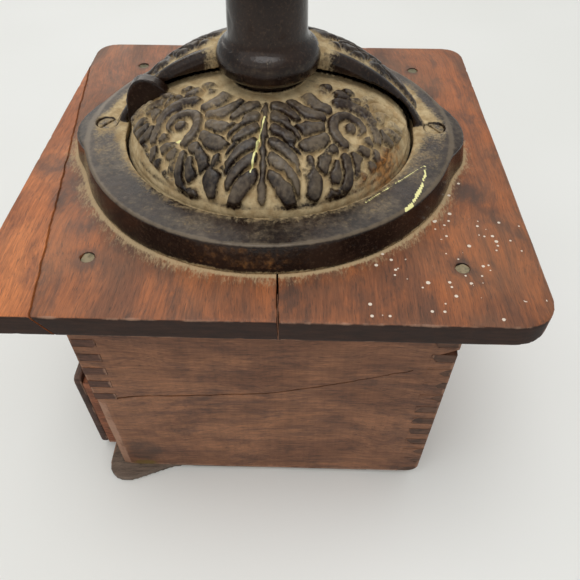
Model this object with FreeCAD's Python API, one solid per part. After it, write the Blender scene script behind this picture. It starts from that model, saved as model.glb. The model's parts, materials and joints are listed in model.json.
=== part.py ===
import FreeCAD, Part

import math
import os

# Box coffee mill: a finger-jointed wooden box with a drawer, an overhanging top board, and a cast-iron
# hopper with a fixed rear half dome, a turning front cover and a tall bearing post for the crank.
#
# Frame: millimetres, +Z up, origin in the middle of the base board's underside. The drawer faces -Y,
# the turning cover is on the +X side and the crank points to -X at rest. The drawer stands slightly open.

V = FreeCAD.Vector
Z = V(0, 0, 1)
SIDES = (-1, 1)

# ---- box ----
BASE_THICK = 4.0
BOX = 146.0  # outer width and depth
BOX_HEIGHT = 129.0
WALL = 9.5
FINGERS = 28  # finger heights from the top of a wall to its foot
FRONT_FINGERS = 15  # how many of them the short front board takes up
CHIPPED_FINGER = 6  # broken finger at the back of the right side board
HALF = BOX / 2
INNER = HALF - WALL
WALL_TOP = BASE_THICK + BOX_HEIGHT
FINGER = BOX_HEIGHT / FINGERS
FRONT_FOOT = WALL_TOP - FRONT_FINGERS * FINGER
WORN_CORNER = 5.6  # rounding of the box's lower back edge at its right end
WORN_CORNER_START = 0.6  # rounding of that edge at its left end
BEVEL_LENGTH = 4.2  # flat worn on the side boards' front edges beside the drawer
BEVEL_DEPTH = 0.9
BASE_NOSE = 7.0  # how far the base board stands out under the drawer
BASE_INSET = 1.0  # how far it stands in at the sides
BASE_BACK_INSET = 2.0  # how far it stands in at the back
BASE_EAR = 7.5  # how far its front corners stand out sideways
EAR_LENGTH = 42.0

# ---- top board ----
TOP = 186.0
TOP_THICK = 9.2
TOP_CORNER = 9.0
TOP_EDGE = 2.2
DECK = WALL_TOP + TOP_THICK  # heights marked h below are counted from here
WELL_R = 56.5  # hole that the grinding bowl hangs through
REBATE_R = 61.8  # shallow step round the hole for the bowl's flange
REBATE = 4.0
SPLIT_WIDTH = 24.0  # width of the split-off strip at its broad end
SPLIT_RUN = 166.0  # length over which that strip narrows to nothing
SPLIT_LEAN = 6.0  # how much further the split reaches at the underside
SPLIT_GAP = 0.5
CRACK_Y = 6.0
CRACK_GAP = 0.9

# ---- nails, screws ----
NAIL_R = 1.3
NAIL_HEAD_R = 2.5
NAIL_HEAD = 1.0
NAIL_SUNK = 0.4  # how far the top board's nail heads lie under its face
TOP_NAIL = 30.0
BASE_NAIL = 22.0
TOP_NAILS = ((66.5, -58.0), (68.0, 66.5), (-69.0, -66.0), (-68.0, 66.0))
BASE_NAILS = ((68.2, -45.0), (68.2, 45.0), (-68.2, -45.0), (-68.2, 45.0), (-30.0, 68.2), (30.0, 68.2))
BRAD_R = 0.8
BRAD = 13.0
SCREW_R = 2.1
SCREW_HEAD_R = 4.2
COUNTERSINK = 1.15  # depth of a countersunk head over its overhang
HOLE_FIT = 0.2  # how much wider than its screw a hole is
ROUND_SCREW_R = 2.0
ROUND_HEAD_R = 3.6

# ---- hopper casting, heights h over the deck ----
RING_FOOT_R = 73.1
RIDGE_R = 71.0
RIDGE_H = 10.7
DISH_H = 10.0  # height of the dished top at the cover's opening
OPENING_R = 56.4
LOBE = 5.0  # how far the two screw lobes stand out
LOBE_ANGLE = 12.0
LOBE_DROOP = 3.0
SCREW_PITCH_R = 65.0
CASTING_SCREW_H = 9.8  # face of the screws' heads
CASTING_SCREW = 18.4
SLOT_TURN = 35.0  # how the screws' slots happen to stand
DOME_R = 74.0  # sphere radius of the fixed half dome
DOME_TOP = 43.0
DOME_INNER_R = 57.0
DOME_INNER_TOP = 34.8
DOME_LIP = 3.4  # rounding of the dome's outer front edge
DOME_SINK_H = 7.4  # how deep the dome's foot runs into the ring
BOSS_R = 13.0
BOSS_FOOT = 25.0
COLLAR_H = 33.8  # underside of the collar
COLLAR_EDGE_H = 36.4  # its lower outer edge
COLLAR_R = 18.8
STEM_R = 14.0
NECK_R = 13.3  # under the top bead
BEAD_R = 15.2
BEAD = 5.4  # height of the top bead
POST_TOP = 70.0
POST_RELIEF_R = 8.0  # the post is hollow between its two bearings
BEARING = 12.0  # length of each bearing
SHAFT_R = 4.75
RUNNING = 0.06  # radial clearance of a turning fit
FREE = 0.3  # clearance between parts that only pass each other
PRESSED = 0.02  # clearance of a fixed fit

# ---- turning cover ----
COVER_R = 55.6
COVER_EQUATOR = 7.8
COVER_RISE = 25.0
COVER_THICK = 2.8
COVER_LAP = 4.0  # how far the cover reaches back under the fixed dome
EYE = 4.0  # width of the eye's rim round the boss
TAB_THICK = 5.0
TAB_GAP = 0.8

# ---- grinding parts, heights h ----
LEDGE_R = 50.0  # raised rim of the bowl, which centres the casting and carries the cover
LEDGE_OUTER_R = 56.1
LEDGE_H = 3.9
BOWL_FLANGE_R = 61.5
BOWL_WALL = 1.5
BOWL_THROAT_OUTER_R = 22.5
BOWL_SCREW_CIRCLE_R = 59.3
BOWL_SCREW_ANGLES = (30, 150, 270)
BOWL_SCREW = 8.4
BOWL_SCREW_R = 1.2
BOWL_SCREW_HEAD_R = 2.2
BURR_TOP = -33.0
BURR_FOOT = -58.0
BURR_R = 17.2
BURR_TOP_R = 9.0
BURR_SKIRT = 4.0  # straight part at the burr's foot
BOWL_TOOTH_R = 18.5
BOWL_THROAT_R = 14.5
BOWL_THROAT_H = -36.0
BRIDGE_TOP = -66.0
BRIDGE_THICK = 4.0
BRIDGE_REACH = 32.0
BRIDGE_HALF = 6.0
BRIDGE_SCREW_X = 27.5
BRIDGE_LEG_X = 24.0  # inner face of its two legs
BRIDGE_BOSS_R = 8.5
LUG = 10.0  # height of the bowl's lugs over the bridge
ADJUSTER_R = 3.0
WING = 9.0  # reach of the adjuster's wings
LOCK_NUT_FLATS = 10.0
LOCK_NUT = 3.0
TEETH = 12
PIN_R = 1.5
PIN_H = -50.0
PIN_LENGTH = 27.0

# ---- crank ----
HUB_R = 13.5
HUB_H = 12.0
HUB_FOOT = POST_TOP + 1.1
SQUARE = 6.6  # shaft's squared end
TIP_R = 3.0  # its threaded tip
TIP = 7.0
WASHER_R = 10.0
NUT_HALF = 5.6
NUT = 5.2
NUT_TURN = 20.0  # how the nut happens to stand
KNOB_WASHER_R = 7.6
KNOB_WASHER = 0.6
KNOB_GAP = 0.1
CRANK_REACH = 112.0
CRANK_RISE = 12.5
ARM_THICK = 7.0
ARM_EYE_R = 8.5  # round end that carries the knob
ARM_EYE = 8.4  # its thickness
KNOB_PIN_R = 3.0
KNOB_H = 38.0

# ---- drawer ----
DRAWER_OUT = 14.0  # how far the drawer stands open at rest
DRAWER_HALF = 62.0
DRAWER_FOOT = BASE_THICK + 0.25
DRAWER_TOP = 61.5
FACE_THICK = 3.7  # thin board that faces the drawer
FACE_CORNER = 3.0
FACE_EDGE = 1.2
DRAWER_SIDE = 6.0
DRAWER_SIDE_TOP = 58.5
DRAWER_BACK_TOP = 52.0
DRAWER_SETBACK = 0.3  # drawer box's side set back from the face board's end
DRAWER_LENGTH = 132.0
DRAWER_BOTTOM = 3.0
DRAWER_INNER = DRAWER_HALF - DRAWER_SETBACK - DRAWER_SIDE
DRAWER_BOTTOM_Z = DRAWER_FOOT + 1.0
FRONT_Y = -HALF - DRAWER_OUT
KNOB_Z = (DRAWER_FOOT + DRAWER_TOP) / 2
KNOB_SCREW_HEAD = -FACE_THICK - DRAWER_SIDE  # face of the knob screw's head, flush inside the drawer
KNOB_SCREW_TIP = 13.0  # how far the screw reaches into the knob
BRAD_HEIGHTS = (18.0, 42.0)


# ---------------------------------------------------------------- helpers
def block(x, y, z):
    """A box given by its (low, high) pairs."""
    return Part.makeBox(x[1] - x[0], y[1] - y[0], z[1] - z[0], V(x[0], y[0], z[0]))


def rod(radius, foot, top, x=0.0, y=0.0):
    """An upright cylinder."""
    return Part.makeCylinder(radius, top - foot, V(x, y, foot))


def cone(foot_r, top_r, foot, top, x=0.0, y=0.0):
    """An upright cone."""
    return Part.makeCone(foot_r, top_r, top - foot, V(x, y, foot))


def turned(profile, angle=360.0, start=V(0, 1, 0)):
    """A solid of revolution about Z from (radius, height) corners, starting in the plane through start."""
    points = [start * r + Z * h for r, h in profile]
    face = Part.Face(Part.makePolygon(points + points[:1]))
    return face.revolve(V(0, 0, 0), Z, angle)


def spline(points):
    """A smooth curve through points."""
    curve = Part.BSplineCurve()
    curve.interpolate(points)
    return curve.toShape()


def lathe(curves, angle=360.0):
    """A solid of revolution about Z from a closed chain of edges in the YZ plane."""
    face = Part.Face(Part.Wire(Part.__sortEdges__(curves)))
    return face.revolve(V(0, 0, 0), Z, angle)


def yz(r, h):
    return V(0, r, h)


def prism(corners, direction):
    """A polygon swept along direction."""
    return Part.Face(Part.makePolygon(corners + corners[:1])).extrude(direction)


def union(shapes):
    return shapes[0].multiFuse(shapes[1:]).removeSplitter()


def raised(shape):
    """Moves a shape from deck heights h to the row frame."""
    moved = shape.copy()
    moved.translate(Z * DECK)
    return moved


def about_z(shape, degrees):
    turned_copy = shape.copy()
    turned_copy.rotate(V(0, 0, 0), Z, degrees)
    return turned_copy


def ellipse_curve(radius, rise, equator, start_r=0.0, steps=10):
    """The quarter ellipse from start_r out to radius, as a curve in the YZ plane."""
    first = math.asin(start_r / radius)
    angles = [first + (math.pi / 2 - first) * i / steps for i in range(steps + 1)]
    return spline([yz(radius * math.sin(a), equator + rise * math.cos(a)) for a in angles])


# ---------------------------------------------------------------- fasteners
def nail(x, y, head_z, length, up):
    """A nail with its head's outer face at head_z, driven up or down."""
    s = 1 if up else -1
    head = sorted((head_z, head_z + s * NAIL_HEAD))
    shank = sorted((head_z, head_z + s * length))
    return rod(NAIL_HEAD_R, *head, x, y).fuse(rod(NAIL_R, *shank, x, y)).removeSplitter()


def top_nails():
    return [nail(x, y, DECK - NAIL_SUNK, TOP_NAIL, up=False) for x, y in TOP_NAILS]


def base_nails():
    return [nail(x, y, 0.0, BASE_NAIL, up=True) for x, y in BASE_NAILS]


def top_nail_holes(nails):
    """What the top board's nails need cut away: themselves, and the sunk space over each head."""
    sunk = [rod(NAIL_HEAD_R, DECK - NAIL_SUNK, DECK + 1.0, x, y) for x, y in TOP_NAILS]
    return union(nails + sunk)


def wood_screw(top, length, radius=SCREW_R, head_r=SCREW_HEAD_R, slotted=True):
    """A countersunk screw along -Z with its head's face at height top."""
    neck = top - (head_r - radius) * COUNTERSINK
    shoulder = top - length + 2 * radius
    screw = union([
        cone(radius, head_r, neck, top),
        rod(radius, shoulder, neck),
        cone(0.3, radius, top - length, shoulder),
    ])
    if not slotted:
        return screw
    return screw.cut(block((-head_r, head_r), (-0.1 * head_r, 0.1 * head_r), (top - 0.25 * head_r, top)))


def round_head_screw(length):
    """A slotted round-head screw pointing up, with its head's underside at height 0."""
    crown = 0.75 * ROUND_HEAD_R
    ball = Part.makeSphere(ROUND_HEAD_R, V(0, 0, ROUND_HEAD_R - crown))
    head = ball.common(rod(ROUND_HEAD_R, -crown, 0.0))
    slot = block((-ROUND_HEAD_R, ROUND_HEAD_R), (-0.45, 0.45), (-crown, -0.5 * crown))
    return union([head.cut(slot), rod(ROUND_SCREW_R, 0.0, length)])


# ---------------------------------------------------------------- wooden box
def finger_span(k):
    """Height range of finger k, counted down from the top of the walls."""
    return (WALL_TOP - (k + 1) * FINGER, WALL_TOP - k * FINGER)


def side_board(side):
    """A wall on the +X or -X side: notched for the front board's fingers and the back board's fingers."""
    x = sorted((side * INNER, side * HALF))
    board = block(x, (-HALF, HALF), (BASE_THICK, WALL_TOP))
    notches = [block(x, (-HALF, -INNER), finger_span(k)) for k in range(0, FRONT_FINGERS, 2)]
    notches += [block(x, (INNER, HALF), finger_span(k)) for k in range(1, FINGERS, 2)]
    corner = V(side * HALF, -HALF, 0)
    bevel = prism(
        [corner, corner + V(0, BEVEL_LENGTH, 0), corner - V(side * BEVEL_DEPTH, 0, 0)],
        V(0, 0, FRONT_FOOT),
    )
    return board.cut(union(notches)).cut(bevel)


def worn_envelope():
    """The box's outer block with its lower back edge worn round, more so towards the right."""
    body = block((-HALF, HALF), (-HALF, HALF), (BASE_THICK, WALL_TOP))
    edge = [e for e in body.Edges if e.BoundBox.YMin > HALF - 0.01 and e.BoundBox.ZMax < BASE_THICK + 0.01]
    return body.makeFillet(WORN_CORNER_START, WORN_CORNER, edge)


def finger_chip():
    """The wedge missing from one finger at the back of the right side board."""
    low, high = finger_span(CHIPPED_FINGER)
    corners = [
        V(HALF + 1, HALF + 1, low),
        V(HALF + 1, HALF + 1, low + 0.85 * (high - low)),
        V(HALF + 1, HALF - 0.7 * WALL, low),
    ]
    return prism(corners, V(-WALL, 0, 0))


def cross_board(y, foot, fingers):
    """The front or back wall: a board between the sides with fingers through both of them."""
    board = block((-INNER, INNER), y, (foot, WALL_TOP))
    teeth = [block(sorted((s * INNER, s * HALF)), y, finger_span(k)) for s in SIDES for k in fingers]
    return union([board] + teeth)


def front_board():
    return cross_board((-HALF, -INNER), FRONT_FOOT, range(0, FRONT_FINGERS, 2))


def back_board():
    return cross_board((INNER, HALF), BASE_THICK, range(1, FINGERS, 2))


def base_outline():
    """The base board's outline: just inside the box behind, swept out into an ear at each front corner."""
    nose = -HALF - BASE_NOSE
    ear = HALF + BASE_EAR
    rear = HALF - BASE_BACK_INSET
    flank = [
        V(HALF - BASE_INSET, nose + EAR_LENGTH, 0),
        V(HALF + 0.25 * BASE_EAR, nose + 0.6 * EAR_LENGTH, 0),
        V(HALF + 0.8 * BASE_EAR, nose + 0.36 * EAR_LENGTH, 0),
        V(ear, nose + 0.2 * EAR_LENGTH, 0),
        V(HALF + 0.7 * BASE_EAR, nose + 0.06 * EAR_LENGTH, 0),
        V(HALF, nose, 0),
    ]
    mirrored = [V(-p.x, p.y, 0) for p in flank]
    straight = [flank[-1], mirrored[-1]]
    back = [mirrored[0], V(-rear, rear, 0), V(rear, rear, 0), flank[0]]
    edges = [spline(flank), Part.makeLine(*straight), spline(mirrored)]
    edges += [Part.makeLine(a, b) for a, b in zip(back, back[1:])]
    return Part.Wire(Part.__sortEdges__(edges))


def base_board():
    return Part.Face(base_outline()).extrude(Z * BASE_THICK)


# ---------------------------------------------------------------- top board
def split_cut(offset):
    """The half space on the strip's side of the split, shifted by offset along Y."""
    wide = -TOP / 2 + SPLIT_WIDTH + offset
    slope = SPLIT_WIDTH / SPLIT_RUN
    far = wide - slope * 2 * TOP
    top = [V(TOP, wide + slope * TOP / 2, DECK + 1), V(-TOP * 2, far - slope * TOP / 2, DECK + 1)]
    under = [V(p.x, p.y + SPLIT_LEAN, WALL_TOP - 1) for p in top]
    out = V(0, -4 * TOP, 0)
    bottom_face = Part.makePolygon([under[0], under[1], under[1] + out, under[0] + out, under[0]])
    top_face = Part.makePolygon([top[0], top[1], top[1] + out, top[0] + out, top[0]])
    return Part.makeLoft([bottom_face, top_face], True, True)


def whole_top():
    """The overhanging board before it split, with its well and its shrinkage crack."""
    board = block((-TOP / 2, TOP / 2), (-TOP / 2, TOP / 2), (WALL_TOP, DECK))
    corners = [e for e in board.Edges if abs(e.Vertexes[0].Z - e.Vertexes[1].Z) > 1]
    board = board.makeFillet(TOP_CORNER, corners)
    rims = [e for e in board.Edges if e.BoundBox.ZLength < 0.01]
    board = board.makeFillet(TOP_EDGE, rims)
    crack = prism(
        [
            V(TOP / 2 + 1, CRACK_Y - CRACK_GAP / 2, WALL_TOP - 1),
            V(TOP / 2 + 1, CRACK_Y + CRACK_GAP / 2, WALL_TOP - 1),
            V(WELL_R - 1, CRACK_Y - 1.0, WALL_TOP - 1),
        ],
        Z * (TOP_THICK + 2),
    )
    rebate = rod(REBATE_R, DECK - REBATE, DECK + 1)
    return board.cut(rod(WELL_R, WALL_TOP - 1, DECK + 1)).cut(rebate).cut(crack)


# ---------------------------------------------------------------- hopper casting
def lobed_wire(radius, height):
    """The casting's plan outline: a circle with a rounded lobe on each side for its screw."""
    points = []
    for degrees in range(0, 360, 4):
        off = min(abs(degrees - 90), abs(degrees - 270))
        r = radius + LOBE * math.exp(-((off / LOBE_ANGLE) ** 3))
        a = math.radians(degrees)
        points.append(V(r * math.cos(a), r * math.sin(a), height))
    curve = Part.BSplineCurve()
    curve.interpolate(points, PeriodicFlag=True)
    return Part.Wire([curve.toShape()])


def ring():
    """The foot ring: drafted wall, top dished towards the opening and drooping screw lobes."""
    sections = [lobed_wire(RING_FOOT_R, 0.0), lobed_wire(RIDGE_R - 0.1, RIDGE_H + 0.6)]
    body = Part.makeLoft(sections, True, True)
    far = RING_FOOT_R + LOBE + 4.0
    under_top = turned(
        [
            (OPENING_R, -1.0),
            (OPENING_R, DISH_H),
            (RIDGE_R - 0.8, RIDGE_H),
            (RIDGE_R + 0.4, RIDGE_H - 0.3),
            (far, RIDGE_H - LOBE_DROOP),
            (far, -1.0),
        ]
    )
    return body.common(under_top)


def half_dome():
    """The fixed rear half of the dome: a sphere outside and an ellipse inside, thickest at its crown."""
    centre = DOME_TOP - DOME_R
    foot_r = math.sqrt(DOME_R**2 - (DOME_SINK_H - centre) ** 2)
    middle = DOME_R * math.sin(0.4)
    arc = Part.Arc(
        yz(foot_r, DOME_SINK_H), yz(middle, centre + math.sqrt(DOME_R**2 - middle**2)), yz(0, DOME_TOP)
    ).toShape()
    inner_foot = COVER_EQUATOR + 0.9
    inner = ellipse_curve(DOME_INNER_R, DOME_INNER_TOP - inner_foot, inner_foot)
    edges = [
        arc,
        Part.makeLine(yz(0, DOME_TOP), yz(0, DOME_INNER_TOP)),
        inner,
        Part.makeLine(yz(DOME_INNER_R, inner_foot), yz(DOME_INNER_R, DOME_SINK_H)),
        Part.makeLine(yz(DOME_INNER_R, DOME_SINK_H), yz(foot_r, DOME_SINK_H)),
    ]
    dome = lathe(edges, 180.0)
    hub = V(-DOME_LIP, 0, centre)
    across = V(1, 0, 0)
    rim_r = DOME_R - DOME_LIP
    corner = Part.makeCylinder(DOME_R + 1, DOME_LIP + 1, hub, across).cut(
        Part.makeCylinder(rim_r, DOME_LIP + 1, hub, across)
    )
    return dome.cut(corner.cut(Part.makeTorus(rim_r, DOME_LIP, hub, across)))


def post():
    """The bearing post: boss inside the dome, collar over the cover, tapered stem and top bead."""
    neck = POST_TOP - BEAD
    shoulder = spline(
        [
            yz(COLLAR_R, COLLAR_EDGE_H + 2.2),
            yz(COLLAR_R - 0.2, COLLAR_EDGE_H + 5.0),
            yz(COLLAR_R - 1.1, COLLAR_EDGE_H + 7.0),
            yz(COLLAR_R - 2.5, COLLAR_EDGE_H + 8.3),
        ]
    )
    stem = spline(
        [
            yz(COLLAR_R - 2.5, COLLAR_EDGE_H + 8.3),
            yz(STEM_R + 1.1, COLLAR_EDGE_H + 9.2),
            yz(STEM_R + 0.35, COLLAR_EDGE_H + 10.9),
            yz(STEM_R + 0.1, COLLAR_EDGE_H + 14.0),
            yz(STEM_R, COLLAR_EDGE_H + 20.0),
            yz(NECK_R, neck),
        ]
    )
    bead = Part.Arc(yz(NECK_R, neck), yz(BEAD_R, POST_TOP - 0.55 * BEAD), yz(NECK_R, POST_TOP)).toShape()
    lower = [
        yz(COLLAR_R, COLLAR_EDGE_H + 2.2),
        yz(COLLAR_R - 0.3, COLLAR_EDGE_H),
        yz(COLLAR_R - 1.6, COLLAR_EDGE_H - 1.4),
        yz(COLLAR_R - 3.2, COLLAR_H),
        yz(BOSS_R, COLLAR_H),
        yz(BOSS_R, BOSS_FOOT),
        yz(0, BOSS_FOOT),
        yz(0, POST_TOP),
        yz(NECK_R, POST_TOP),
    ]
    edges = [shoulder, stem, bead] + [Part.makeLine(a, b) for a, b in zip(lower, lower[1:])]
    return lathe(edges)


def hopper_casting():
    """Ring, fixed half dome and post in one casting, with the shaft's bore and the screw holes."""
    body = union([ring(), half_dome(), post()])
    bore = SHAFT_R + RUNNING
    relief = rod(POST_RELIEF_R, BOSS_FOOT + BEARING, POST_TOP - BEARING)
    cuts = [rod(bore, BOSS_FOOT - 1, POST_TOP + 1), relief]
    narrow = SCREW_R + HOLE_FIT
    wide = SCREW_HEAD_R + HOLE_FIT
    seat = CASTING_SCREW_H - COUNTERSINK * (SCREW_HEAD_R - SCREW_R)
    for side in SIDES:
        y = side * SCREW_PITCH_R
        cuts.append(rod(narrow, -1.0, seat + 1.0, 0.0, y))
        cuts.append(cone(narrow, wide, seat - 0.1, CASTING_SCREW_H, 0.0, y))
        cuts.append(rod(wide, CASTING_SCREW_H, 2 * CASTING_SCREW_H, 0.0, y))
    return body.cut(union(cuts))


def casting_screws():
    screws = []
    for side in SIDES:
        screw = about_z(wood_screw(CASTING_SCREW_H, CASTING_SCREW), SLOT_TURN * side)
        screw.translate(V(0, side * SCREW_PITCH_R, 0))
        screws.append(raised(screw))
    return screws


# ---------------------------------------------------------------- turning cover
def hopper_cover():
    """The front half of the dome: a shell on an eye that turns round the post's boss, with a thumb tab."""
    inner_r = COVER_R - COVER_THICK
    eye_r = BOSS_R + FREE
    outer_start = COVER_EQUATOR + COVER_RISE * math.sqrt(1 - (eye_r / COVER_R) ** 2)
    inner_rise = COVER_RISE - COVER_THICK
    inner_start = COVER_EQUATOR + inner_rise * math.sqrt(1 - (eye_r / inner_r) ** 2)
    foot = LEDGE_H + 0.2
    edges = [
        ellipse_curve(COVER_R, COVER_RISE, COVER_EQUATOR, eye_r),
        Part.makeLine(yz(COVER_R, COVER_EQUATOR), yz(COVER_R, foot)),
        Part.makeLine(yz(COVER_R, foot), yz(inner_r, foot)),
        Part.makeLine(yz(inner_r, foot), yz(inner_r, COVER_EQUATOR)),
        ellipse_curve(inner_r, inner_rise, COVER_EQUATOR, eye_r),
        Part.makeLine(yz(eye_r, inner_start), yz(eye_r, outer_start)),
    ]
    shell = lathe(edges).common(block((-COVER_LAP, 80), (-80, 80), (0, 50)))
    eye = rod(eye_r + EYE, inner_start - 1.0, outer_start - 1.0).cut(rod(eye_r, 0.0, COVER_RISE * 2))
    return union([shell, eye, thumb_tab()])


def thumb_tab():
    """A flat fin with a rounded head, standing on the cover's edge in front of the fixed dome."""
    x = TAB_GAP
    outline = [
        (-55.0, 11.2),
        (-53.8, 21.2),
        (-51.9, 27.5),
        (-50.0, 29.8),
        (-46.3, 31.4),
        (-42.6, 30.6),
        (-39.6, 28.6),
        (-37.6, 25.6),
    ]
    rim = [V(x, y, h) for y, h in outline]
    root = [V(x, -37.6, 23.6), V(x, -52.6, 9.0)]
    inside = [rim[-1]] + root + [rim[0]]
    edges = [spline(rim)] + [Part.makeLine(a, b) for a, b in zip(inside, inside[1:])]
    return Part.Face(Part.Wire(Part.__sortEdges__(edges))).extrude(V(TAB_THICK, 0, 0))


# ---------------------------------------------------------------- grinding parts
def groove(r_top, h_top, r_foot, h_foot, depth, half_width):
    """A V groove along a cone's side in the plane Y=0; a negative depth cuts outwards."""
    out = 1.5 if depth > 0 else -1.5
    mouth = r_top + out
    corners = [V(mouth, -half_width, h_top), V(mouth, half_width, h_top), V(r_top - depth, 0, h_top)]
    return prism(corners, V(r_foot - r_top, 0, h_foot - h_top))


def grinding_bowl():
    """The bowl under the top board: flange, raised rim, funnel, toothed throat and the bridge's lugs."""
    body = turned(
        [
            (LEDGE_R, LEDGE_H),
            (LEDGE_OUTER_R, LEDGE_H),
            (LEDGE_OUTER_R, 0.0),
            (BOWL_FLANGE_R, 0.0),
            (BOWL_FLANGE_R, -REBATE),
            (LEDGE_R - BOWL_WALL, -REBATE),
            (BOWL_THROAT_OUTER_R, BOWL_THROAT_H + 2.0),
            (BOWL_THROAT_OUTER_R + 1.0, BURR_FOOT),
            (BOWL_TOOTH_R, BURR_FOOT),
            (BOWL_THROAT_R, BOWL_THROAT_H),
        ]
    )
    lug_start = BOWL_THROAT_OUTER_R - 1.5
    lug_z = (BURR_FOOT, BURR_FOOT + LUG)
    lugs = [
        block(sorted((s * lug_start, s * BRIDGE_REACH)), (-BRIDGE_HALF, BRIDGE_HALF), lug_z)
        for s in SIDES
    ]
    teeth = [
        about_z(
            groove(BOWL_THROAT_R, BOWL_THROAT_H + 4, BOWL_TOOTH_R, BURR_FOOT - 1, -1.8, 1.6),
            i * 360.0 / TEETH,
        )
        for i in range(TEETH)
    ]
    holes = [rod(ROUND_SCREW_R, BURR_FOOT - 1, BURR_FOOT + LUG - 2.0, s * BRIDGE_SCREW_X) for s in SIDES]
    return union([body] + lugs).cut(union(teeth + holes)).cut(union(bowl_screw_shapes(slotted=False)))


def bowl_screw_shapes(slotted):
    """The small countersunk screws that hold the bowl's flange down in the top board's step."""
    screws = []
    for angle in BOWL_SCREW_ANGLES:
        screw = wood_screw(0.0, BOWL_SCREW, BOWL_SCREW_R, BOWL_SCREW_HEAD_R, slotted)
        screw.translate(V(BOWL_SCREW_CIRCLE_R, 0, -0.05))
        screws.append(about_z(screw, angle))
    return screws


def grinding_burr():
    """The toothed cone on the shaft."""
    bore = SHAFT_R + PRESSED
    shoulder = BURR_FOOT + BURR_SKIRT
    body = union([cone(BURR_R, BURR_TOP_R, shoulder, BURR_TOP), rod(BURR_R, BURR_FOOT, shoulder)])
    body = body.cut(rod(bore, BURR_FOOT - 1, BURR_TOP + 1))
    teeth = [
        about_z(
            groove(BURR_TOP_R, BURR_TOP + 1, BURR_R + 1.4, BURR_FOOT - 1, 2.4, 1.7),
            (i + 0.5) * 360.0 / TEETH,
        )
        for i in range(TEETH)
    ]
    return body.cut(union(teeth)).cut(cross_pin(2 * BURR_R))


def cross_pin(length):
    """The pin through the burr and the shaft, or with a greater length the hole for it."""
    return Part.makeCylinder(PIN_R, length, V(0, -length / 2, PIN_H), V(0, 1, 0))


def crank_shaft():
    """The upright shaft: journal, squared end for the crank and a threaded tip."""
    square_top = HUB_FOOT + HUB_H - 0.4
    journal = rod(SHAFT_R, BRIDGE_TOP + 0.1, HUB_FOOT)
    half = SQUARE / 2
    squared = block((-half, half), (-half, half), (HUB_FOOT, square_top))
    tip = rod(TIP_R, square_top, HUB_FOOT + HUB_H + TIP)
    return union([journal, squared, tip]).cut(cross_pin(4 * SHAFT_R))


def bridge():
    """The strap under the burr with the shaft's foot bearing and the adjuster's threaded hole."""
    foot = BRIDGE_TOP - BRIDGE_THICK
    strap = block((-BRIDGE_REACH, BRIDGE_REACH), (-BRIDGE_HALF, BRIDGE_HALF), (foot, BRIDGE_TOP))
    legs = [
        block(sorted((s * BRIDGE_LEG_X, s * BRIDGE_REACH)), (-BRIDGE_HALF, BRIDGE_HALF), (foot, BURR_FOOT))
        for s in SIDES
    ]
    boss = rod(BRIDGE_BOSS_R, foot, BRIDGE_TOP + 5.0)
    cuts = [rod(SHAFT_R + RUNNING, BRIDGE_TOP, BRIDGE_TOP + 6.0)]
    cuts.append(rod(ADJUSTER_R + RUNNING, foot - 1, BRIDGE_TOP))
    cuts += [rod(ROUND_SCREW_R + 0.1, foot - 1, BURR_FOOT + 1, s * BRIDGE_SCREW_X) for s in SIDES]
    return union([strap, boss] + legs).cut(union(cuts))


def bridge_screws():
    screws = []
    for side in SIDES:
        screw = round_head_screw(19.0)
        screw.translate(V(side * BRIDGE_SCREW_X, 0, BRIDGE_TOP - BRIDGE_THICK))
        screws.append(raised(screw))
    return screws


def adjusting_screw():
    """The screw that lifts the shaft to set the grind, with a winged thumb head."""
    head = BRIDGE_TOP - BRIDGE_THICK - 7.8
    wings = block((-WING, WING), (-1.4, 1.4), (head, head + 4.0))
    shank = rod(ADJUSTER_R, head + 1.0, BRIDGE_TOP - 0.05)
    return union([shank, rod(1.5 * ADJUSTER_R, head, head + 3.2), wings])


def hexagon(flats, foot, top):
    radius = flats / math.sqrt(3)
    corners = []
    for degrees in range(0, 360, 60):
        a = math.radians(degrees)
        corners.append(V(radius * math.cos(a), radius * math.sin(a), foot))
    return prism(corners, Z * (top - foot))


def lock_nut():
    top = BRIDGE_TOP - BRIDGE_THICK - 0.15
    hole = rod(ADJUSTER_R + PRESSED, top - LOCK_NUT - 1.0, top + 1.0)
    return hexagon(LOCK_NUT_FLATS, top - LOCK_NUT, top).cut(hole)


# ---------------------------------------------------------------- crank
def arm_height(s):
    """Height of the arm's middle line at distance s from the shaft: a gentle ogee up to the knob."""
    t = min(max((s - 12.0) / (CRANK_REACH - 30.0), 0.0), 1.0)
    return HUB_FOOT + HUB_H / 2 + CRANK_RISE * t * t * (3 - 2 * t)


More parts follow.
